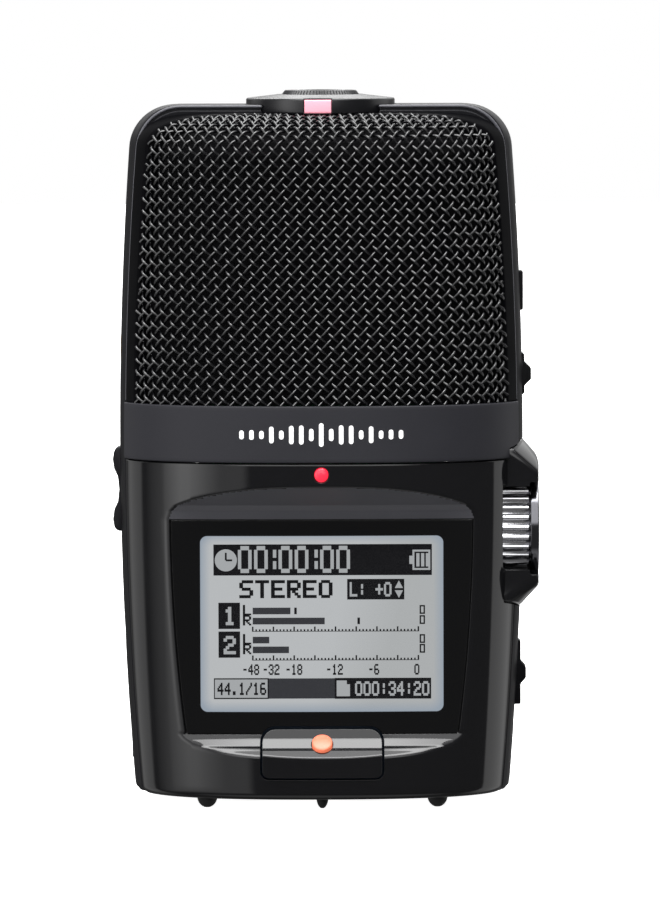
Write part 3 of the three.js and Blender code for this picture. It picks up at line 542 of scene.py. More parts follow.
def screen_material():
    """The reflective display: pale grey with fine grain, cooler and darker at its border. It glows instead of
    being lit, which is painted light, and a diagonal band that is lighter towards the upper left is a painted
    reflection of the window.
    """
    material = finish("screen", "#08080a", 0.6, patchy=0.05, mottle=0.02, grain=0.2, bump=0.001, specular=0.1)
    tree = material.node_tree
    shader = tree.nodes["Principled BSDF"]
    spot = place_on_body(tree)
    inside = rounded_mask(tree, spot, SCREEN["half_width"] - 1.5, SCREEN["low_z"] + 1.5,
                          SCREEN["high_z"] - 1.2, 0.8, 1.6)
    axes = add_node(tree, "SeparateXYZ", {0: spot}).outputs
    # painted reflection: a diagonal band, lighter towards the upper left, stands for the window's reflection
    # on the screen
    slant = math_node(tree, "MULTIPLY_ADD", axes[2], -0.28, axes[0])
    painted_reflection = add_node(tree, "MapRange", {0: slant, 1: -6, 2: 3.5, 3: 1, 4: 0}).outputs[0]
    grey = blend_colours(tree, painted_reflection, tint("#b0b3b4"), tint("#bcbfc1"))
    shown = blend_colours(tree, inside, tint("#9aa5b1"), grey)
    tree.links.new(shown, shader.inputs["Emission Color"])
    shader.inputs["Emission Strength"].default_value = SCREEN_GLOW
    return material


def ink_material(name, colour):
    material = finish(name, "#050506", 0.6, mottle=0.03, bump=0.0005, edge=0.01, specular=0.05)
    return glow(material, colour, SCREEN_GLOW)


def weave_lining():
    """The black cloth behind the wire: soft, with open pores."""
    material = finish("lining", "#0b0b0d", 0.95, grain=0.25, mottle=0.5, bump=0.15, cloud=2, specular=0.15)
    return material


def board_material():
    """Green solder mask with copper tracks under it."""
    material = finish("circuit_board", "#0d4a2b", 0.35, mottle=0.15, bump=0.003)
    tree = material.node_tree
    shader = tree.nodes["Principled BSDF"]
    spot = place_on_body(tree)
    tracks = add_node(tree, "TexBrick", {"Vector": spot, "Scale": 0.35, "Mortar Size": 0.02})
    mask = tree.nodes["Principled BSDF"].inputs["Base Color"].links[0].from_socket
    drawn = blend_colours(tree, tracks.outputs["Fac"], mask, tint("#2f8a55"))
    tree.links.new(drawn, shader.inputs["Base Color"])
    return material


def jacket_material():
    """A cell's printed sleeve: silver with a blue band at its positive end."""
    material = finish("cell_jacket", "#b4b8bb", 0.3, metallic=0.6, mottle=0.06, grain=0.5, bump=0.001)
    tree = material.node_tree
    shader = tree.nodes["Principled BSDF"]
    axes = add_node(tree, "SeparateXYZ", {0: place_on_body(tree)}).outputs
    low, high = span("battery_left")[0][2], span("battery_left")[1][2]
    middle = (low + high) / 2
    flipped = math_node(tree, "SIGN", axes[0])
    reach = math_node(tree, "MULTIPLY", math_node(tree, "SUBTRACT", axes[2], middle), flipped)
    band = math_node(tree, "GREATER_THAN", math_node(tree, "MULTIPLY", reach, -1), (high - low) * 0.18)
    silver = shader.inputs["Base Color"].links[0].from_socket
    tree.links.new(blend_colours(tree, band, silver, tint("#1d3f78")), shader.inputs["Base Color"])
    return material


GLOSS = finish("gloss_black", "#121214", 0.07, mottle=0.1, patchy=0.02, grain=1.2, bump=0.0006, edge=0.15)
# the satin frame's lightened edges are partly wear and partly a painted highlight along its seams and top
SATIN = finish("satin_black", "#131316", 0.4, mottle=0.12, patchy=0.06, grain=0.16, bump=0.004,
               edge=0.2, wear=0.18, specular=0.1)
RIM = finish("rim_black", "#050507", 0.5, specular=0.03, mottle=0.15, patchy=0.06, grain=0.14, bump=0.006)
# painted reflection: the hood's down-facing strip is a lighter grey that stands for the table it reflects
HOOD_PAINTED_SHEEN = finish("hood_painted_sheen", "#48484d", 0.32, mottle=0.1, patchy=0.04, grain=0.14, bump=0.002)
# painted highlight: a light grey for the seam bead, standing for the light a seam's edge catches
SEAM_PAINTED_HIGHLIGHT = finish("seam_painted_highlight", "#505056", 0.35, mottle=0.15, patchy=0.06, grain=0.14, bump=0.004)
BAND = finish("band_grey", "#28282d", 0.55, specular=0.25, mottle=0.14, patchy=0.05, grain=0.13, bump=0.009,
              edge=0.1)
WIRE = finish("wire", "#0e0e11", 0.22, specular=1, mottle=0.2, grain=0.1, bump=0.003, edge=0.02)
LINING = weave_lining()
DIAL = finish("dial_black", "#101013", 0.3, mottle=0.12, patchy=0.06, grain=0.16, bump=0.003, wear=0.12)
CAP_CHROME = finish("cap_chrome", "#66666a", 0.12, metallic=1, mottle=0.06, patchy=0.03, grain=0.25,
                    bump=0.001)
CHROME = finish("chrome", "#dcdce0", 0.2, metallic=1, mottle=0.04, patchy=0.05, grain=0.25, bump=0.0006)
STEEL = finish("steel", "#a7a9ab", 0.28, metallic=1, mottle=0.08, patchy=0.08, grain=0.15, bump=0.003)
BRASS = finish("brass", "#c79a45", 0.25, metallic=1, mottle=0.1, patchy=0.08, grain=0.2, bump=0.002)
RUBBER = finish("rubber", "#0c0c0d", 0.75, mottle=0.2, grain=0.12, bump=0.01)
INNER = finish("inner_plastic", "#191a1c", 0.55, mottle=0.15, grain=0.2, bump=0.006, wear=0.1)
CARD = finish("card_blue", "#23303f", 0.5, mottle=0.08, grain=0.15, bump=0.004)
WINDOW = window_material()
LCD = screen_material()
INK = ink_material("ink", "#0e0e11")
INK_SOFT = ink_material("ink_soft", "#35363a")
PAPER = ink_material("paper", "#a9acae")
# painted light: the white print on the band glows, though it is no lamp
WHITE = glow(finish("print_white", "#f2f2f2", 0.5, mottle=0.02, bump=0.001, edge=0.02), "#ffffff", 0.35)
# painted light: the dial's pink window glows, though it is no lamp
PINK = glow(finish("pink_window", "#f4a3b2", 0.35, mottle=0.05, grain=0.2, bump=0.001), "#f7a0b0", 0.45)
RED_LAMP = glow(finish("red_lamp", "#e8263c", 0.25, mottle=0.06, grain=0.3, bump=0.001), "#f42a42", 0.75)
ORANGE_LAMP = glow(finish("orange_lamp", "#dd6f55", 0.3, mottle=0.08, grain=0.3, bump=0.002), "#f2835f", 0.6)
BOARD = board_material()
JACKET = jacket_material()

# ---- Shells ------------------------------------------------------------------------------------------

GUARD_LOW, GUARD_HIGH = span("wheel_guard")
WHEEL_LOW, WHEEL_HIGH = span("gain_wheel_cap")
WHEEL_AXIS = ((WHEEL_LOW[1] + WHEEL_HIGH[1]) / 2, (WHEEL_LOW[2] + WHEEL_HIGH[2]) / 2)
REC_LOW, REC_HIGH = span("rec_button")


DIAL_GAP = 0.3
DIAL_SKIRT = 0.2  # how far the disc reaches below its pink window


def dial_room():
    """The room the dial turns in."""
    floor = span("dial_pointer")[0][2] - DIAL_SKIRT - DIAL_GAP
    return rod("z", span("mode_dial")[1][0] + DIAL_GAP, floor, FAR, (0, 0), 128)


def guard_saddle(name="guard_room", material=None, room=0.12):
    """The faceted saddle round the wheel, or with room the space it needs: taller and wider in the middle of
    the side than at its two ends."""
    low, high = GUARD_LOW - room, GUARD_HIGH + room
    outer = high[0]
    middle = [(outer - 2.7, high[2] - 1.4), (outer - 0.25, high[2] - 4.3), (outer, high[2] - 5.4),
              (outer, low[2] + 4.2), (outer - 3.1, low[2] + 0.9)]
    end = [(outer - 4.1, high[2] - 2.6), (outer - 0.3, high[2] - 6), (outer - 0.2, high[2] - 6.6),
           (outer - 0.2, low[2] + 4.8), (outer - 4.5, low[2] + 2)]
    work = bmesh.new()
    for outline, deep in ((middle, 5), (end, high[1])):
        inner = [(low[0], outline[0][1]), (low[0], outline[-1][1])]
        for x, z in outline + inner:
            for y in (-deep, deep):
                work.verts.new(Vector((x, y, z)) * MM)
    bmesh.ops.convex_hull(work, input=work.verts)
    bmesh.ops.dissolve_limit(work, angle_limit=math.radians(2), verts=work.verts, edges=work.edges)
    mesh = bpy.data.meshes.new(name)
    work.to_mesh(mesh)
    work.free()
    if material:
        mesh.materials.append(material)
    saddle = bpy.data.objects.new(name, mesh)
    bpy.context.scene.collection.objects.link(saddle)
    return saddle


def rec_outline(room):
    return rounded_outline(REC_LOW[0] - room, REC_HIGH[0] + room, REC_LOW[2] - room, REC_HIGH[2] + room,
                           1 + room, 2 + room)


def window_sheet(room, front, back, name="window_room", material=None):
    """The window's plate, or with room the pocket it sits in, from front to back of the recess floor."""
    low, high = span("display_window")
    z = np.linspace(low[2] - room, high[2] + room, 40)
    heights, depths = np.array(FLOOR_SIDE).T
    slope = (depths[1] - depths[0]) / (heights[1] - heights[0])
    floor = depths[0] + slope * (z - heights[0])
    edge = width_at(floor, z, WINDOW_MARGIN - room)
    for _ in range(20):
        edge = width_at(floor - FLOOR_CURVE * edge**2, z, WINDOW_MARGIN - room)
    x = np.outer(edge, np.linspace(-1, 1, 25))
    height = np.broadcast_to(z[:, None], x.shape)
    skin = floor[:, None] - FLOOR_CURVE * x**2
    outer = np.stack([x, FRONT * (skin + front), height], axis=-1)
    inner = np.stack([x, FRONT * (skin - back), height], axis=-1)
    return thick_sheet(name, outer, inner, material)


def display_room():
    """The opening behind the window that lets the display panel come up to it."""
    low, high = span("lcd_panel")
    floor = FRONT * max(depth for _, depth in FLOOR_SIDE)
    return block((low[0] - 0.3, floor, low[2] - 0.3), (high[0] + 0.3, -SEAM_Y, high[2] + 0.3))


HOOD_Z = (46, 52)  # the hood's strip over the window is painted a lighter grey: a painted reflection of the table it faces


def on_hood(x, y, z):
    """Whether a point of the front shell is on the hood: between its heights, sunk below the body's outline
    and in front of the recess floor."""
    sunk = -y < depth_at(x, z) - 0.25
    proud = -y > FLOOR_SIDE[0][1] - 1
    return HOOD_Z[0] < z < HOOD_Z[1] and sunk and proud


# The thumb opening in front of the wheel, from the inside of its cap outwards.
MOUTH_DEPTH = 4.4
MOUTH_HALF = {"guard": 6.6, "flare": 7.4, "housing": 6.9}


def front_housing():
    top = span("front_housing")[1][2]
    lamp_low, lamp_high = span("front_lamp")
    lamp_z = (lamp_low[2] + lamp_high[2]) / 2
    detail = np.arange(20.5, 25, 0.18)
    middle_x = np.concatenate([-detail[:0:-1], np.linspace(-20.5, 20.5, 42), detail[1:]])
    rows = housing_rows(top, [(6, 13.5), (44.8, 52.6)])
    outer = side_sheet(FRONT, rows, middle_x, recessed=True)
    inner = side_sheet(FRONT, rows, middle_x, recessed=True, wall=SHELL)
    shell = thick_sheet("front_shell", outer, inner, GLOSS)
    # painted reflection: faces on the hood take the lighter hood colour
    shell.data.materials.append(HOOD_PAINTED_SHEEN)
    for face in shell.data.polygons:
        face.material_index = int(on_hood(*(face.center / MM)))
    half = MOUTH_HALF["housing"]
    mouth = block((WHEEL_LOW[0] - MOUTH_DEPTH, -FAR, WHEEL_AXIS[1] - half), (FAR, 0, WHEEL_AXIS[1] + half))
    carve(shell, prism("y", rec_outline(0.35), -FAR, -12), rod("y", 1.22, -FAR, -14, (0, lamp_z)),
          window_sheet(0.12, 4, 1.05), display_room(), guard_saddle(), mouth)
    return piece(shell, "housing", "gloss_body", "front_housing")


def door_outline(room=0):
    low, high = span("battery_door")
    return rounded_outline(low[0] - room, high[0] + room, low[2] - room, high[2] + room, 1.4, 1.4)


SCREWS = [f"case_screw_{number}" for number in range(1, 5)]


def rear_housing():
    top = span("rear_housing")[1][2]
    rows = housing_rows(top, [])
    middle_x = np.linspace(-25, 25, 46)
    outer = side_sheet(REAR, rows, middle_x)
    inner = side_sheet(REAR, rows, middle_x, wall=SHELL)
    shell = thick_sheet("rear_shell", outer, inner, GLOSS)
    tools = [prism("y", door_outline(0.22), 8, FAR), guard_saddle()]
    for name in SCREWS:
        low, high = span(name)
        tools.append(rod("y", 2.25, 8, FAR, box_middle(low, high, 0, 2)))
    carve(shell, *tools)
    return piece(shell, "housing", "gloss_body", "rear_housing")


def screw_wells():
    """Sleeves that line the sunk screw holes."""
    wells = []
    for name in SCREWS:
        low, high = span(name)
        centre = box_middle(low, high, 0, 2)
        rim = depth_at(centre[0], centre[1], 0.9)
        profile = [(2.25, rim), (2.25, high[1] - 1.6), (2.9, high[1] - 1.6), (2.9, rim)]
        wells.append(lathe("well", "y", profile, centre, closed=True))
    return piece(merge("screw_wells", wells, GLOSS), "housing", "gloss_body")


def battery_door():
    low, high = span("battery_door")
    z = np.linspace(low[2], high[2], 70)
    x = np.linspace(low[0], high[0], 41)
    x, z = np.meshgrid(x, z)
    outer = np.stack([x, depth_at(x, z), z], axis=-1)
    inner = np.stack([x, depth_at(x, z, SHELL), z], axis=-1)
    door = thick_sheet("door_panel", outer, inner, GLOSS)
    carve(door, prism("y", door_outline(), 8, FAR), keep=True)
    grooves = []
    for i in range(5):
        centre = high[2] - 4 - i * 1.3
        outline = rounded_outline(-6, 6, centre - 0.35, centre + 0.35, 0.3, 0.3)
        grooves.append(prism("y", outline, high[1] - 0.5, FAR))
    arrow = [(-2.4, high[2] - 12.5), (2.4, high[2] - 12.5), (0, high[2] - 15.5)]
    carve(door, *grooves, prism("y", arrow, high[1] - 0.35, FAR))
    return piece(door, "cell_door", "gloss_body", "battery_door")


def band(side, node, name):
    low, high = span(node)
    rows = rounded_rows(low[2], high[2], np.linspace(low[2] + 0.7, high[2] - 0.7, 6))
    proud = high[1] if side == REAR else -low[1]
    inset = half_sizes(WAIST_Z)[1] - proud
    rows = [(z, pulled + inset, pull) for z, pulled, pull in rows]
    middle_x = np.linspace(-25, 25, 60)
    outer = side_sheet(side, rows, middle_x)
    inner = side_sheet(side, [(z, 0, 0) for z, _, _ in rows], middle_x, wall=SHELL)
    strip = thick_sheet(name, outer, inner, BAND)
    tools = [guard_saddle()]
    if side == REAR:
        for offset in (-2.4, -0.8, 0.8, 2.4):
            z = (low[2] + high[2]) / 2 + offset
            outline = rounded_outline(-6.2, 6.2, z - 0.38, z + 0.38, 0.36, 0.36)
            tools.append(prism("y", outline, 8, FAR))
    carve(strip, *tools)
    return piece(strip, "housing", "matte_band", node)


# ---- Loops: the middle frame and the rims of the wire --------------------------------------------------

BAND_TOP = span("front_band")[1][2]
BEAD_RADIUS = 0.24
SEAM_LIP = 0.13
ARCH_Z, FOOT_Z = 95, 15  # centres from which the loops' top and bottom are drawn


def ray_outline(depth, inset, angles, centre_z, top, top_z):
    """Where rays in the plane of the body's front view leave its outline at a depth."""
    near = np.zeros_like(angles)
    far = np.full_like(angles, 50)
    for _ in range(32):
        reach = (near + far) / 2
        x, z = reach * np.cos(angles), centre_z + reach * np.sin(angles)
        half_x, half_y = half_sizes(z, inset, top, top_z)
        share = (np.abs(x) / half_x) ** POWER + (depth / half_y) ** POWER
        inside = (share <= 1) & (z <= top_z - inset) & (z >= BOTTOM_Z + inset)
        near, far = np.where(inside, reach, near), np.where(inside, far, reach)
    return np.stack([near * np.cos(angles), centre_z + near * np.sin(angles)], axis=-1)


def leg_outline(depth, inset, heights, top, top_z):
    half_x, half_y = half_sizes(heights, inset, top, top_z)
    return np.stack([far_side(depth, half_y, half_x), heights], axis=-1)


def mirrored(points):
    return points[::-1] * [-1, 1]


def loop_profile(near, far, wall, edge, lip=0.0):
    """The closed section of a loop, as (depth, inset) pairs with its outer edges rounded. A lip reaches
    into the seams on both sides, under the edges."""
    under = edge + 0.15
    profile = [(near - lip, wall), (near - lip, under), (near, under)] if lip else [(near, wall)]
    profile += [(near + edge * (1 - math.cos(a)), edge * (1 - math.sin(a))) for a in ARC]
    profile += [(depth, 0) for depth in np.linspace(near + edge, far - edge, 11)[1:-1]]
    profile += [(far - edge * (1 - math.cos(a)), edge * (1 - math.sin(a))) for a in ARC[::-1]]
    return profile + ([(far, under), (far + lip, under), (far + lip, wall)] if lip else [(far, wall)])


def grille_rim(side, node, name):
    low, high = span(node)
    near, far = sorted((abs(low[1]), abs(high[1])))
    heights = np.linspace(low[2], ARCH_Z, 24)[:-1]
    angles = np.linspace(0, math.pi, 120)
    columns = []
    for depth, inset in loop_profile(near, far, RIM_WALL, EDGE):
        leg = leg_outline(depth, inset, heights, DOME, TOP_Z)
        arch = ray_outline(depth, inset, angles, ARCH_Z, DOME, TOP_Z)
        path = np.concatenate([leg, arch, mirrored(leg)])
        columns.append(along("y", path[:, 0], path[:, 1], side * depth))
    rim = sweep(name, np.stack(columns, axis=1), RIM)
    carve(rim, dial_room())
    return piece(rim, "housing", "satin_frame", node)


def side_slot(low, high, room, x0, x1, radius=0.5):
    """A hole through a side of the frame, round a control's box."""
    outline = rounded_outline(low[1] - room, high[1] + room, low[2] - room, high[2] + room, radius, radius)
    return prism("x", outline, x0, x1)


def jack_centre(node):
    low, high = span(node)
    return (low[1] + high[1]) / 2, (low[2] + high[2]) / 2


def middle_frame():
    high = span("mid_frame")[1]
    ceiling = span("rotary_switch")[1][2] + 0.3
    drop = (high[2] - ceiling) / RIM_WALL - 1  # how much faster than inset the roof comes down
    top_angles = np.linspace(0, math.pi, 160)
    bottom_angles = np.linspace(math.pi, 2 * math.pi, 120)
    heights = np.linspace(FOOT_Z, ARCH_Z, 40)[1:-1]
    columns = []
    for depth, inset in loop_profile(-high[1], high[1], RIM_WALL, 0.3, SEAM_LIP):
        top_z = high[2] - drop * inset
        deep = abs(depth)
        leg = leg_outline(deep, inset, heights, LOOP, top_z)
        arch = ray_outline(deep, inset, top_angles, ARCH_Z, LOOP, top_z)
        base = ray_outline(deep, inset, bottom_angles, FOOT_Z, LOOP, top_z)
        path = np.concatenate([leg, arch, mirrored(leg), base])
        columns.append(along("y", path[:, 0], path[:, 1], depth))
    loop = sweep("middle_frame", np.stack(columns, axis=1), SATIN, closed=True)
    menu_low, menu_high = span("menu_button")
    power_low, power_high = span("power_slider")
    flange = np.array([0, 0.8, 0.8])
    travel = np.array([0, 0, 2.6])
    card_low, card_high = span("card_door")
    tools = [
        dial_room(),
        rod("z", 3.3, ceiling - 1, 2 * FAR, (0, 0)),
        guard_saddle(),
        side_slot(menu_low + flange, menu_high - flange, 0.22, 26, FAR, 0.7),
        side_slot(*span("play_lever"), 0.35, 26, FAR, 0.7),
        side_slot(power_low - travel, power_high + travel, 0.3, power_low[0] + 1.25, FAR, 0.6),
        side_slot(*span("volume_rocker"), 0.35, -FAR, -26, 0.7),
        side_slot(*span("usb_port"), 0.12, -FAR, -26, 0.4),
        rod("x", 3.1, -FAR, -26, jack_centre("line_in_jack")),
        rod("x", 3.1, -FAR, -26, jack_centre("phones_jack")),
        block(card_low - [0.2, 0.2, 3], card_high + [0.2, 0.2, 3]),
        rod("z", 4.3, 0, 5, box_middle(*span("tripod_insert"), 0, 1)),
    ]
    carve(loop, *tools)
    return piece(loop, "housing", "satin_frame", "mid_frame")


def seam_bead(side, name):
    """A fine raised line where the middle frame meets a rim, from the band up over the top, in a light grey
    that is a painted highlight of the seam's edge.
    """
    high = span("mid_frame")[1]
    angles = np.linspace(0, math.pi, 160)
    leg = leg_outline(high[1], BEAD_RADIUS, np.linspace(BAND_TOP + 0.3, ARCH_Z, 30)[:-1], LOOP, high[2])
    arch = ray_outline(high[1], BEAD_RADIUS, angles, ARCH_Z, LOOP, high[2])
    path = np.concatenate([leg, arch, mirrored(leg)])
    points = along("y", path[:, 0], path[:, 1], side * high[1])
    bead = sweep(name, tube(points, np.tile([0.0, side, 0.0], (len(points), 1)), BEAD_RADIUS, 8), SEAM_PAINTED_HIGHLIGHT)
    carve(bead, dial_room(), guard_saddle())
    return piece(bead, "housing", "satin_frame")


# ---- The woven wire ----------------------------------------------------------------------------------

WIRE_PITCH = 1.38
WIRE_RADIUS = 0.24
WIRE_INSET = 0.3
WIRE_STEPS = 4  # tube rings from one crossing to the next
WIRE_SIDES = 5
WIRE_CRIMP = {1: 0.9, -1: 1.4}  # how far each family of wires waves, in wire radii
WIRE_LEAN = 0.06  # how far the rows of crossings lean
REFERENCE_Z = 86  # where distances round the dome are true


def dome_point(s, t):
    """The dome's point at a distance s round it from the middle and t up it from its foot."""
    half_x, half_y = half_sizes(REFERENCE_Z, WIRE_INSET)
    turn = np.linspace(0.02, math.pi - 0.02, 2000)
    x = -half_x * np.sign(np.cos(turn)) * np.abs(np.cos(turn)) ** (2 / POWER)
    y = half_y * np.sin(turn) ** (2 / POWER)
    lengths = np.concatenate([[0], np.cumsum(np.hypot(np.diff(x), np.diff(y)))])
    angle = np.interp(s + lengths[-1] / 2, lengths, turn)
    z = np.linspace(BAND_TOP - 2, TOP_Z - WIRE_INSET, 4000)
    profile = half_sizes(z, WIRE_INSET)[1]
    climbed = np.concatenate([[0], np.cumsum(np.hypot(np.diff(z), np.diff(profile)))])
    height = np.interp(t, climbed, z)
    half_x, half_y = half_sizes(height, WIRE_INSET)
    across = -half_x * np.sign(np.cos(angle)) * np.abs(np.cos(angle)) ** (2 / POWER)
    return np.stack([across, -half_y * np.sin(angle) ** (2 / POWER), height], axis=-1), climbed[-1]


def unit(vectors):
    return vectors / np.maximum(np.linalg.norm(vectors, axis=-1, keepdims=True), 1e-9)


def tube(path, up, radius, sides):
    """Rings of points round a path, whose up vectors point away from the surface it lies on."""
    ahead = unit(np.gradient(path, axis=0))
    side = unit(np.cross(ahead, up))
    turn = np.linspace(0, 2 * math.pi, sides, endpoint=False)
    ring = np.cos(turn)[None, :, None] * up[:, None] + np.sin(turn)[None, :, None] * side[:, None]
    return path[:, None] + radius * ring


def weave(name, node, side):
    """Two families of crossing wires, each passing over and under the other in turn."""
    edge_depth = abs(span("front_grille_frame")[0][1]) - 0.12
    dial_reach = span("mode_dial")[1][0] + 0.4
    dial_floor = span("dial_pointer")[0][2] - 0.5 - WIRE_RADIUS
    half_round = 38
    climb = dome_point(0, 0)[1]
    points, faces, start = [], [], 0
    reach = half_round + climb
    for family in (1, -1):
        for index in range(-int(reach / WIRE_PITCH), int(reach / WIRE_PITCH) + 1):
            run = np.arange(-reach, reach, WIRE_PITCH / WIRE_STEPS)
            t = family * (run - index * WIRE_PITCH) / math.sqrt(2) + climb / 2
            s = (run + index * WIRE_PITCH) / math.sqrt(2) - WIRE_LEAN * (t - climb / 2)
            near = (np.abs(s) < half_round) & (t > 0) & (t < climb)
            s, t, run = s[near], t[near], run[near]
            if len(s) < 3:
                continue
            path = dome_point(s, t)[0]
            up = unit(np.cross(dome_point(s + 0.05, t)[0] - path, dome_point(s, t + 0.05)[0] - path))
            wave = family * math.cos(math.pi * index) * np.cos(math.pi * run / WIRE_PITCH)
            path = path + up * (WIRE_RADIUS * WIRE_CRIMP[family] * wave)[:, None]
            under_dial = np.hypot(path[:, 0], path[:, 1]) < dial_reach
            path[:, 2] = np.where(under_dial, np.minimum(path[:, 2], dial_floor), path[:, 2])
            shown = (-path[:, 1] > edge_depth) & (path[:, 2] > BAND_TOP - 0.1)
            cuts = np.flatnonzero(np.diff(shown.astype(int))) + 1
            for part in np.split(np.arange(len(s)), cuts):
                if len(part) < 3 or not shown[part[0]]:
                    continue
                rings = tube(path[part], up[part], WIRE_RADIUS, WIRE_SIDES)
                points.append(rings.reshape(-1, 3))
                faces += grid_faces(len(part), WIRE_SIDES, start, closed=True)
                start += len(part) * WIRE_SIDES
    points = np.concatenate(points) * [1, -side, 1]
    if side == FRONT:
        faces = [face[::-1] for face in faces]
    mesh = bpy.data.meshes.new(name)
    mesh.from_pydata((points * MM).tolist(), [], faces)
    mesh.materials.append(WIRE)
    mesh.shade_smooth()
    wires = bpy.data.objects.new(name, mesh)
    bpy.context.scene.collection.objects.link(wires)
    return piece(wires, "housing", "wire_mesh", node)

# ---- Display -----------------------------------------------------------------------------------------

GLYPHS = {
    "0": ".###. #...# #...# #...# #...# #...# .###.",
    "1": "..#.. .##.. ..#.. ..#.. ..#.. ..#.. .###.",
    "2": ".###. #...# ....# ..##. .#... #.... #####",
    "3": ".###. #...# ....# ..##. ....# #...# .###.",
    "4": "...#. ..##. .#.#. #..#. ##### ...#. ...#.",
    "6": ".###. #.... #.... ####. #...# #...# .###.",
    "8": ".###. #...# #...# .###. #...# #...# .###.",
    ":": "..... ..#.. ..#.. ..... ..#.. ..#.. .....",
    ".": "..... ..... ..... ..... ..... .##.. .##..",
    "/": "....# ....# ...#. ..#.. .#... #.... #....",
    "-": "..... ..... ..... .###. ..... ..... .....",
    "+": "..... ..#.. ..#.. ##### ..#.. ..#.. .....",
    "E": "##### #.... #.... ####. #.... #.... #####",
    "L": "#.... #.... #.... #.... #.... #.... #####",
    "O": ".###. #...# #...# #...# #...# #...# .###.",
    "R": "####. #...# #...# ####. #.#.. #..#. #...#",
    "S": ".#### #.... #.... .###. ....# ....# ####.",
    "T": "##### ..#.. ..#.. ..#.. ..#.. ..#.. ..#..",
}
GLYPH_ROWS, GLYPH_COLUMNS = 7, 5


LETTER_SHARE = 0.8  # a letter's part of the pitch


def text_plates(text, x, z, height, pitch, weight=(0.5, 0.25)):
    """Rectangles of a word in dots, from its lower left corner. weight is how far the dots run into each
    other across and down."""
    plates = []
    dot_z = height / GLYPH_ROWS
    dot_x = pitch * LETTER_SHARE / GLYPH_COLUMNS
    for place, letter in enumerate(text):
        if letter == " ":
            continue
        for row, dots in enumerate(GLYPHS[letter].split()):
            top = z + height - row * dot_z
            for column, dot in enumerate(dots):
                if dot == "#":
                    left = x + place * pitch + column * dot_x
                    plates.append((left, left + dot_x * (1 + weight[0]), top - dot_z * (1 + weight[1]), top))
    return plates


def frame_plates(x0, x1, z0, z1, line):
    """The four sides of a box drawn in outline."""
    return [(x0, x1, z1 - line, z1), (x0, x1, z0, z0 + line),
            (x0, x0 + line, z0, z1), (x1 - line, x1, z0, z1)]


def plates(name, rectangles, raised, material):
    """Thin printed plates on the display: rectangles of (x0, x1, z0, z1)."""
    front = span("lcd_panel")[0][1]
    corners, faces = [], []
    for x0, x1, z0, z1 in rectangles:
        first = len(corners)
        for y in (front - raised, front + 0.01):
            corners += [(x0, y, z0), (x1, y, z0), (x1, y, z1), (x0, y, z1)]
        sides = [(0, 1, 2, 3), (7, 6, 5, 4), (0, 4, 5, 1), (1, 5, 6, 2), (2, 6, 7, 3), (3, 7, 4, 0)]
        faces += [tuple(first + corner for corner in side) for side in sides]
    mesh = bpy.data.meshes.new(name)
    mesh.from_pydata((np.array(corners) * MM).tolist(), [], faces)
    mesh.materials.append(material)
    thing = bpy.data.objects.new(name, mesh)
    bpy.context.scene.collection.objects.link(thing)
    return piece(thing, "housing", "lcd")


METER = {"x0": -10.9, "x1": 15.2}
# Each channel: the foot of its bar, the bar's end and its peak mark's place, if it has one.
CHANNELS = [("L", 30.8, -4.95, -4.15), ("R", 29.2, 0.45, 5.8),
            ("L", 26.2, -8.3, None), ("R", 24.65, -5.2, None)]
BAR_HEIGHT = 1.05
SCALE_Z = [28.05, 23.5]
SCALE_MARKS = [("-48", -11.2), ("-32", -8), ("-18", -4.4), ("-12", 2), ("-6", 8.2), ("0", 15)]


def meter_plates():
    """The level meter's scales, peak marks, overload boxes and numbers."""
    ink = []
    for foot in SCALE_Z:
        for mark in range(49):
            x = METER["x0"] + (METER["x1"] - METER["x0"]) * mark / 48
            tall = 0.8 if mark % 6 == 0 else 0.38
            ink.append((x - 0.12, x + 0.12, foot, foot + tall))
        ink.append((METER["x0"], METER["x1"], foot, foot + 0.1))
    for letter, foot, _, peak in CHANNELS:
        ink += text_plates(letter, -12.45, foot - 0.1, 1.6, 1.5)
        ink += frame_plates(15.4, 16.25, foot, foot + 1.4, 0.23)
        if peak is not None:
            ink.append((peak - 0.2, peak + 0.2, foot, foot + BAR_HEIGHT))
    for label, centre in SCALE_MARKS:
        ink += text_plates(label, centre - 0.45 * len(label), 21.25, 1.65, 0.92)
    return ink


def display():
    grey = [(METER["x0"], end, foot, foot + BAR_HEIGHT) for _, foot, end, _ in CHANNELS]
    plates("lcd_bars", grey + [(-8.4, 2, 17.45, 20.65)], 0.02, INK_SOFT)
    ink = [(-17.05, 17.35, 36.95, 41.85), (4.0, 13.0, 33.1, 36.35), (-17.05, -8.4, 17.4, 20.7),
           (2, 17.2, 17.4, 20.7), (-16.3, -12.9, 28.5, 32.65), (-16.3, -12.9, 23.95, 28.1)]
    ink += text_plates("STEREO", -13, 33.45, 2.75, 2.5)
    plates("lcd_ink", ink + meter_plates(), 0.02, INK)
    light = []
    for x, digits in ((-13.2, "00"), (-8.5, ":"), (-6.8, "00"), (-1.95, ":"), (-0.25, "00")):
        light += text_plates(digits, x, 37.4, 4.2, 2.55, weight=(0.3, 0.1))
    light += frame_plates(14.3, 17.1, 37.75, 40.95, 0.3) + [(13.8, 14.3, 38.7, 40)]
    light += [(x, x + 0.5, 38.3, 40.4) for x in (14.9, 15.65, 16.4)]
    light += text_plates("1", -15.5, 29.2, 2.8, 2.2) + text_plates("2", -15.5, 24.6, 2.8, 2.2)
    light += text_plates("L: +0", 4.4, 33.65, 2.2, 1.35)
    light += [(-16.9, -8.6, 17.6, 20.5), (2.3, 4.4, 17.8, 19.7), (2.3, 3.9, 19.7, 20.3)]
    light += text_plates("000:34:20", 5.2, 17.95, 2.2, 1.32)
    plates("lcd_light", light, 0.035, PAPER)
    plates("lcd_rate", text_plates("44.1/16", -16.5, 18.1, 1.9, 1.12), 0.05, INK)
    icons("lcd_icons")
    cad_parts["lcd_panel"].data.materials[0] = LCD


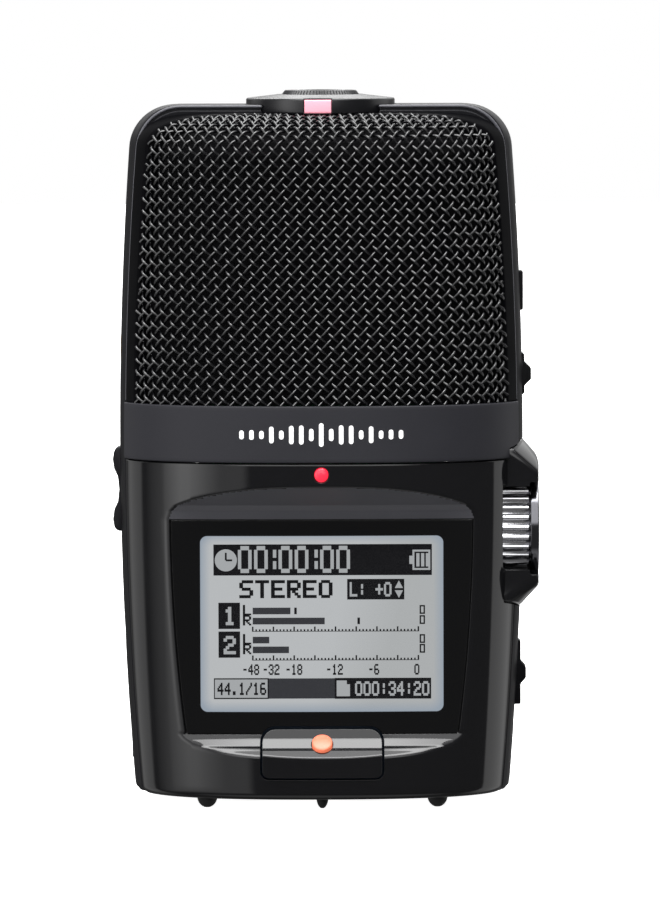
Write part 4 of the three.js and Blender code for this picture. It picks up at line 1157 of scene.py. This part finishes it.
def icons(name):
    """The clock in the title bar and the two arrows of the level box."""
    front = span("lcd_panel")[0][1] - 0.035
    clock_x, clock_z, clock_radius = -15.1, 39.35, 1.75
    turn = np.linspace(0, 2 * math.pi, 32, endpoint=False)
    disc = list(zip(clock_x + clock_radius * np.cos(turn), clock_z + clock_radius * np.sin(turn)))
    shapes = [prism("y", disc, front, front + 0.03)]
    for low, tip in ((34.9, 36.1), (34.55, 33.35)):
        shapes.append(prism("y", [(11.5, low), (12.8, low), (12.15, tip)], front, front + 0.03))
    piece(merge(name, shapes, PAPER), "housing", "lcd")
    hands = [(clock_x - 0.15, clock_x + 0.15, clock_z, clock_z + 1.2),
             (clock_x, clock_x + 1, clock_z - 0.15, clock_z + 0.15)]
    plates("lcd_clock_hands", hands, 0.05, INK)


def window():
    plate = window_sheet(0, 0, 1, "window_plate", WINDOW)
    carve(plate, prism("y", rec_outline(0.5), -FAR, -12))
    return piece(plate, "housing", "window_glass", "display_window")


def waveform_mark():
    """A printed row of rounded bars, like a sound wave, across the front band."""
    low, high = span("front_band")
    middle = (low[2] + high[2]) / 2
    bars = []
    for index in range(-8, 9):
        x = index * 1.56
        tall = 3.7 * (0.3 + 0.7 * abs(math.cos(1.9 * index))) * math.exp(-((index / 8.5) ** 2))
        half = max(tall / 2, 0.45)
        outline = np.array(rounded_outline(x - 0.36, x + 0.36, middle - half, middle + half, 0.35, 0.35))
        inset = half_sizes(WAIST_Z)[1] + low[1]
        skin = depth_at(outline[:, 0], outline[:, 1], inset)
        rings = [along("y", outline[:, 0], outline[:, 1], FRONT * (skin + out)) for out in (-0.1, 0.045)]
        bars.append(sweep("bar", rings))
    return piece(merge("waveform_mark", bars, WHITE), "housing", "matte_band")


# ---- Controls ----------------------------------------------------------------------------------------


def fluted(name, axis, profile, centre, count, groove, material, steps=6):
    """A turned shape with grooves along its axis; each (radius, place, share) takes its share of them."""
    turn = np.linspace(0, 2 * math.pi, count * steps, endpoint=False)
    wave = np.clip(0.5 - 0.6 * np.cos(count * turn), 0, 1)
    rings = []
    for radius, place, share in profile:
        reach = radius - groove * share * wave
        rings.append(along(axis, centre[0] + reach * np.cos(turn), centre[1] + reach * np.sin(turn), place))
    thing = sweep(name, rings, material)
    soften(thing, 40)
    return thing


def rounded_disc(radius, low, high, edge):
    """The profile of a disc with rounded rims."""
    arc = np.linspace(0, math.pi / 2, 6)
    profile = [(radius - edge + edge * math.sin(a), low + edge * (1 - math.cos(a))) for a in arc]
    profile += [(radius - edge + edge * math.cos(a), high - edge * (1 - math.sin(a))) for a in arc]
    return profile


POINTER_SHIFT = -0.4  # the pink window stands a little to the left


def mode_dial():
    low, high = span("mode_dial")
    pointer_low, pointer_high = span("dial_pointer")
    left, right = pointer_low[0] + POINTER_SHIFT, pointer_high[0] + POINTER_SHIFT
    bottom = pointer_low[2] - DIAL_SKIRT
    radius = high[0]
    profile = rounded_disc(radius, bottom, high[2], 0.35)
    profile += [(7.1, high[2] + 0.5), (6.9, high[2] + 0.55), (6.5, high[2] + 0.4)]
    disc = lathe("dial_disc", "z", profile, (0, 0), DIAL, 160)
    notch = block((left - 0.15, -FAR, bottom - 1), (right + 0.15, pointer_high[1], high[2] + 1))
    carve(disc, notch)
    shaft = lathe("shaft", "z", [(3, low[2]), (3, bottom + 0.5)], (0, 0))
    piece(merge("dial_body", [disc, shaft], DIAL), "dial", "satin_frame", "mode_dial")
    rim = rounded_disc(radius + 0.05, pointer_low[2], pointer_high[2], 0.25)
    window = lathe("dial_window", "z", rim, (0, 0), PINK, 160)
    keep = block((left, -FAR, 0), (right, pointer_high[1], 2 * FAR))
    carve(window, keep, keep=True)
    piece(window, "dial", "pink_window", "dial_pointer")
    cap_low, cap_high = span("dial_cap")
    taper = [(cap_high[0] + 0.1, cap_low[2] + 0.3, 1), (5.75, cap_high[2] - 0.15, 1),
             (5.6, cap_high[2] - 0.02, 0.6), (5.3, cap_high[2], 0), (4.4, cap_high[2], 0),
             (4.2, cap_high[2] - 0.15, 0)]
    cap = fluted("dial_grip", "z", taper, (0, 0), 72, 0.16, DIAL)
    piece(cap, "dial", "satin_frame", "dial_cap")


def gain_wheel():
    low, high = span("gain_wheel")
    radius = (high[2] - low[2]) / 2
    inside = low[0]
    profile = [(radius - 0.5, inside, 0.6), (radius, inside + 0.25, 1), (radius, high[0] - 0.2, 1),
               (radius - 0.3, high[0], 0.7)]
    rim = fluted("knurled_rim", "x", profile, WHEEL_AXIS, 30, 0.45, CHROME, 12)
    piece(merge("wheel_rim", [rim], CHROME), "gain", "chrome_ring", "gain_wheel")
    cap_radius = (WHEEL_HIGH[2] - WHEEL_LOW[2]) / 2
    profile = rounded_disc(cap_radius, WHEEL_LOW[0], WHEEL_HIGH[0], 0.2)
    profile += [(cap_radius - 1.6, WHEEL_HIGH[0]), (cap_radius - 2.2, WHEEL_HIGH[0] - 0.25)]
    cap = lathe("wheel_cap", "x", profile, WHEEL_AXIS, CAP_CHROME, 128)
    piece(cap, "gain", "gloss_body", "gain_wheel_cap")


def wheel_guard():
    """The saddle, opened at the front for a thumb."""
    guard = guard_saddle("guard_saddle", GLOSS, 0)
    round_edges(guard, 0.45, 12, 4)
    radius = (WHEEL_HIGH[2] - WHEEL_LOW[2]) / 2
    inside = WHEEL_LOW[0] - MOUTH_DEPTH

    def mouth(x0, half, corner):
        outline = rounded_outline(x0, FAR, WHEEL_AXIS[1] - half, WHEEL_AXIS[1] + half, corner, corner)
        return prism("y", outline, -FAR, WHEEL_AXIS[0])

    carve(guard, rod("x", radius + 0.3, inside, FAR, WHEEL_AXIS, 128), rod("x", 1.8, 0, FAR, WHEEL_AXIS),
          mouth(inside, MOUTH_HALF["guard"], 0.8), mouth(WHEEL_LOW[0] - 0.1, MOUTH_HALF["flare"], 0.5))
    return piece(guard, "housing", "gloss_body", "wheel_guard")


REC_SLOPE = [(7.4, 21), (9.75, 18.75), (9.95, 18.45), (11.4, 17.3), (12.8, 16.6)]


def turn_about_x(thing, degrees, origin):
    """Tips a piece drawn round the world's origin and sets it at its place."""
    move = Matrix.Translation(Vector(origin) * MM) @ Matrix.Rotation(math.radians(degrees), 4, "X")
    thing.data.transform(move)
    return thing


def record_button():
    z, x = np.meshgrid(np.linspace(REC_LOW[2], REC_HIGH[2], 90), np.linspace(REC_LOW[0], REC_HIGH[0], 49),
                       indexing="ij")
    proud = -0.35
    depth = smooth_min(depth_at(x, z, proud), softened(z, REC_SLOPE, 0.12), 0.12)
    back = np.full_like(x, -REC_HIGH[1])
    outer = np.stack([x, -depth, z], axis=-1)
    inner = np.stack([x, -back, z], axis=-1)
    button = thick_sheet("record_key", outer, inner, GLOSS)
    carve(button, prism("y", rec_outline(0), -FAR, 0), keep=True)
    lamp_low, lamp_high = span("rec_lamp")
    lamp_radius = lamp_high[0]
    tip = Vector((0, lamp_low[1] + 0.45, lamp_high[2] - 0.45))
    well_radius = lamp_radius + 0.12
    well = turn_about_x(lathe("well", "z", [(well_radius, -2), (well_radius, 6)], (0, 0)), 45, tip)
    carve(button, well)
    piece(button, "rec", "gloss_body", "rec_button")
    arc = np.linspace(0, 1.45, 10)
    dome = [(lamp_radius, -2.2), (lamp_radius, -0.35)]
    dome += [(lamp_radius * math.cos(a), -0.35 + 0.25 * math.sin(a)) for a in arc[1:]]
    lamp = turn_about_x(lathe("record_lamp", "z", dome, (0, 0), ORANGE_LAMP, 48), 45, tip)
    piece(lamp, "rec", "orange_lamp", "rec_lamp")


def front_lamp():
    low, high = span("front_lamp")
    radius = high[0]
    arc = np.linspace(0, 1.3, 8)
    profile = [(radius, high[1]), (radius, low[1] + 0.3)]
    profile += [(radius * math.cos(a), low[1] + 0.3 - 0.35 * math.sin(a)) for a in arc[1:]]
    lamp = lathe("level_lamp", "y", profile, (0, (low[2] + high[2]) / 2), RED_LAMP, 48)
    return piece(lamp, "housing", "red_lamp", "front_lamp")


def keys():
    """The small controls: the CAD shapes with their edges rounded."""
    piece(copy_node("menu_button", "menu_key", GLOSS, 0.3), "menu", "gloss_body", "menu_button")
    piece(copy_node("play_lever", "play_toggle_key", GLOSS, 0.22), "play_toggle", "gloss_body", "play_lever")
    piece(copy_node("play_stem", "play_slide", INNER, 0.1), "play_key", "satin_frame", "play_stem")
    piece(copy_node("power_slider", "power_key", SATIN, 0.22), "power", "satin_frame", "power_slider")
    piece(copy_node("volume_rocker", "rocker_key", SATIN, 0.3), "volume", "satin_frame", "volume_rocker")
    piece(copy_node("card_door", "card_flap", SATIN, 0.15), "slot_door", "satin_frame", "card_door")


# ---- Connectors, fasteners and the inside --------------------------------------------------------------


def jacks():
    for node, name in (("line_in_jack", "line_in_socket"), ("phones_jack", "phones_socket")):
        low, high = span(node)
        centre = jack_centre(node)
        outer, bore, face = 3, 1.8, low[0]
        barrel = [(outer, face + 0.3), (outer - 0.25, face), (bore + 0.3, face), (bore, face + 0.3),
                  (bore, high[0] - 1), (outer, high[0] - 1)]
        sleeve = lathe("sleeve", "x", barrel, centre, closed=True)
        housing = block((high[0] - 6.6, low[1], low[2]), (high[0], high[1], high[2]))
        carve(housing, rod("x", outer, high[0] - 8, high[0] - 1, centre))
        piece(merge(name, [sleeve, housing], BRASS), "housing", "brass", node)
    piece(copy_node("usb_port", "usb_shell", STEEL, 0.08), "housing", "steel", "usb_port")


FEET = ["foot_front_left", "foot_front_right", "foot_front_centre", "foot_rear_left", "foot_rear_right"]


def feet():
    for node in FEET:
        low, high = span(node)
        radius = (high[0] - low[0]) / 2
        centre = box_middle(low, high, 0, 1)
        arc = np.linspace(0.25, math.pi / 2, 9)
        profile = [(radius * math.sin(a), high[2] * (1 - math.cos(a))) for a in arc]
        profile.append((radius, high[2] + 0.2))
        foot = lathe(node.replace("foot", "pad"), "z", profile, centre, RUBBER, 48)
        piece(foot, "housing", "rubber", node)


def screws():
    for number, node in enumerate(SCREWS, 1):
        low, high = span(node)
        centre = box_middle(low, high, 0, 2)
        radius = (high[0] - low[0]) / 2
        head_y = high[1] - 1.5
        profile = [(0.8, low[1]), (0.8, head_y), (radius, head_y), (radius, high[1] - 0.5),
                   (radius - 0.25, high[1] - 0.15), (radius - 0.8, high[1])]
        screw = lathe(f"screw_{number}", "y", profile, centre, STEEL, 48)
        cross = [(1.2, 0.25), (0.25, 1.2)]
        tools = [block((centre[0] - a, high[1] - 0.7, centre[1] - b), (centre[0] + a, FAR, centre[1] + b))
                 for a, b in cross]
        carve(screw, *tools)
        piece(screw, "housing", "steel", node)


def tripod_bush():
    """A threaded bush: its bore runs in and out like a screw thread."""
    low, high = span("tripod_insert")
    centre = box_middle(low, high, 0, 1)
    outer = (high[0] - low[0]) / 2
    pitch = 1.27
    profile = [(outer, low[2] + 0.2), (outer, high[2] - 1)]
    z = high[2] - 1
    while z > low[2] + pitch:
        profile += [(3.15, z), (3.35, z - pitch / 2)]
        z -= pitch
    profile += [(3.15, low[2] + 0.35), (3.3, low[2]), (outer - 0.2, low[2])]
    sleeve = lathe("sleeve", "z", profile, centre, closed=True)
    lid = rod("z", outer, high[2] - 1, high[2], centre)
    return piece(merge("tripod_bush", [sleeve, lid], BRASS), "housing", "brass", "tripod_insert")


def cells():
    for side, node in ((1, "battery_left"), (-1, "battery_right")):
        low, high = span(node)
        centre = box_middle(low, high, 0, 1)
        radius = (high[0] - low[0]) / 2
        shape = [(radius - 1.2, 0), (radius - 0.4, 0.05), (radius, 0.5), (radius, 48.1),
                 (radius - 0.35, 48.6), (3.4, 48.7), (2.7, 48.9), (2.7, 49.7), (2.45, 50)]
        profile = [(r, low[2] + h if side > 0 else high[2] - h) for r, h in shape]
        cell = lathe(node.replace("battery", "cell"), "z", profile, centre, JACKET, 64)
        piece(cell, "housing", "cell_jacket", node)


def springs():
    """Conical contact springs of round wire."""
    for node in ("battery_spring_left", "battery_spring_right"):
        low, high = span(node)
        centre = (low + high) / 2
        turns = 3.5
        share = np.linspace(0, 1, 120)
        wide_low = node.endswith("left")
        radius = 3.1 - 1.1 * share
        z = low[2] + 0.25 + (high[2] - low[2] - 0.5) * (share if wide_low else 1 - share)
        angle = 2 * math.pi * turns * share
        path = np.stack([centre[0] + radius * np.cos(angle), centre[1] + radius * np.sin(angle), z], axis=-1)
        up = unit(np.stack([np.cos(angle), np.sin(angle), np.zeros_like(angle)], axis=-1))
        coil = sweep(node.replace("battery", "cell"), tube(path, up, 0.25, 8), STEEL)
        piece(coil, "housing", "steel", node)


INSIDE = {
    "front_wind_foam": LINING, "rear_wind_foam": LINING, "main_board": BOARD, "gain_potentiometer": STEEL,
    "rotary_switch": INNER, "power_switch": INNER, "speaker": INNER, "card_socket": STEEL,
    "memory_card": CARD, "battery_tray": INNER, "mic_bracket": INNER, "mid_capsule": CHROME,
    "side_capsule_left": CHROME, "side_capsule_right": CHROME, "xy_capsule_left": CHROME,
    "xy_capsule_right": CHROME,
}


def inside():
    """CAD nodes that stay as they are, with full materials."""
    for node, material in INSIDE.items():
        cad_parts[node].data.materials[0] = material


# ---- Stage, light and camera ---------------------------------------------------------------------------


def soft_light(name, place, target, width, height, radiance):
    """A rectangular studio light at a place, facing a target, both in millimetres."""
    data = bpy.data.lights.new(name, "AREA")
    data.shape = "RECTANGLE"
    data.size, data.size_y = width * MM, height * MM
    data.energy = radiance * math.pi * data.size * data.size_y
    light = bpy.data.objects.new(name, data)
    light.location = Vector(place) * MM
    facing = (Vector(target) - Vector(place)).normalized()
    light.rotation_euler = facing.to_track_quat("-Z", "Y").to_euler()
    bpy.context.scene.collection.objects.link(light)
    return light


# White cards and walls round the stage: strength, the azimuths (0 is towards the camera, more is to the
# right) and the elevations, each as where it begins, is full, is still full and ends, in degrees.
CARDS = {
    "ceiling": (4.0, (-181, -180, 180, 181), (56, 70, 90, 91)),
    "front_window": (2.2, (-30, -18, 18, 30), (2, 8, 50, 60)),
    "left_wall": (0.6, (-96, -72, -20, -17), (-40, -24, 40, 60)),
    "left_window": (1.7, (-76, -56, -49, -30), (-24, -3, 40, 60)),
    "rear_window": (0.35, (150, 160, 180, 181), (-30, -20, 8, 14)),
    "back_left": (1.0, (-181, -180, -140, -128), (8, 14, 60, 80)),
    "back_right": (1.0, (126, 140, 180, 181), (8, 14, 60, 80)),
    "left_backdrop": (0.6, (-140, -128, -106, -101), (-60, -30, 50, 70)),
    "right_backdrop": (0.9, (90, 92, 126, 140), (-60, -30, 50, 70)),
    "table": (0.45, (-85, -60, 60, 85), (-126, -118, -58, -50)),
}


AMBIENT = 0.12
# Area lights facing the recorder: place and size in millimetres, and radiance.
SOFTBOXES = {
    "rear_softbox": ((0, 800, 560), (500, 250), 4),
    "top_softbox": ((0, -300, 700), (700, 300), 7.5),
}
LIT_POINT = (0, 0, 60)


def within(tree, value, edges):
    """1 where a value in radians is between the middle edges, fading to 0 at the outer ones."""
    begins, full, fades, ends = [math.radians(edge) for edge in edges]
    rise = add_node(tree, "MapRange", {0: value, 1: begins, 2: full, 3: 0, 4: 1}).outputs[0]
    fall = add_node(tree, "MapRange", {0: value, 1: fades, 2: ends, 3: 1, 4: 0}).outputs[0]
    return math_node(tree, "MULTIPLY", rise, fall)


def studio():
    """The room as the recorder reflects it; the camera itself sees plain white."""
    world = bpy.data.worlds.new("studio")
    world.use_nodes = True
    tree = world.node_tree
    looking = add_node(tree, "TexCoord", {}).outputs["Generated"]
    axes = add_node(tree, "SeparateXYZ", {0: looking}).outputs
    azimuth = math_node(tree, "ARCTAN2", axes[0], math_node(tree, "MULTIPLY", axes[1], -1))
    elevation = math_node(tree, "ARCSINE", axes[2])
    light = AMBIENT
    for strength, azimuths, elevations in CARDS.values():
        across, up = within(tree, azimuth, azimuths), within(tree, elevation, elevations)
        patch = math_node(tree, "MULTIPLY", across, up)
        light = math_node(tree, "MULTIPLY_ADD", patch, strength, light)
    seen = add_node(tree, "LightPath", {}).outputs["Is Camera Ray"]
    shown = math_node(tree, "MAXIMUM", light, seen)
    tree.links.new(shown, tree.nodes["Background"].inputs["Strength"])
    tree.nodes["Background"].inputs["Color"].default_value = (1, 1, 1, 1)
    bpy.context.scene.world = world
    for name, (place, (width, height), radiance) in SOFTBOXES.items():
        soft_light(name, place, LIT_POINT, width, height, radiance)


FLOOR_HALF = 3000


def stage():
    """A white floor that the recorder stands on, left out of its reflections."""
    corners = [(x * FLOOR_HALF, y * FLOOR_HALF, 0) for x, y in ((-1, -1), (1, -1), (1, 1), (-1, 1))]
    floor = make("floor", corners, [(0, 1, 2, 3)])
    paper = finish("paper_floor", "#f4f4f4", 0.9, mottle=0.01, bump=0)
    glow(paper, "#ffffff", 1.0)
    floor.data.materials.append(paper)
    floor.visible_glossy = False
    floor.visible_diffuse = False


CAMERA_LENS = 291.9
CAMERA_PLACE = (1.36, -1160, 131.75)
CAMERA_PITCH, CAMERA_ROLL = -3.747, -0.168  # degrees
CAMERA_REACH = 10  # metres


def camera():
    """A long lens a little above the recorder, looking slightly down on it."""
    data = bpy.data.cameras.new("camera")
    data.lens = CAMERA_LENS
    data.clip_end = CAMERA_REACH
    eye = bpy.data.objects.new("camera", data)
    eye.location = Vector(CAMERA_PLACE) * MM
    aim = Matrix.Rotation(math.radians(90 + CAMERA_PITCH), 3, "X")
    roll = Matrix.Rotation(math.radians(CAMERA_ROLL), 3, "Z")
    eye.rotation_euler = (aim @ roll).to_euler()
    bpy.context.scene.collection.objects.link(eye)
    bpy.context.scene.camera = eye
    bpy.context.scene.view_settings.view_transform = "Standard"


# ---- Build -------------------------------------------------------------------------------------------

front_housing()
rear_housing()
screw_wells()
battery_door()
band(FRONT, "front_band", "band_front")
band(REAR, "rear_band", "band_rear")
grille_rim(FRONT, "front_grille_frame", "rim_front")
grille_rim(REAR, "rear_grille_frame", "rim_rear")
middle_frame()
seam_bead(FRONT, "seam_front")
seam_bead(REAR, "seam_rear")
weave("weave_front", "front_grille", FRONT)
weave("weave_rear", "rear_grille", REAR)
window()
display()
waveform_mark()
mode_dial()
gain_wheel()
wheel_guard()
record_button()
front_lamp()
keys()
jacks()
feet()
screws()
tripod_bush()
cells()
springs()
inside()
stage()
studio()
camera()
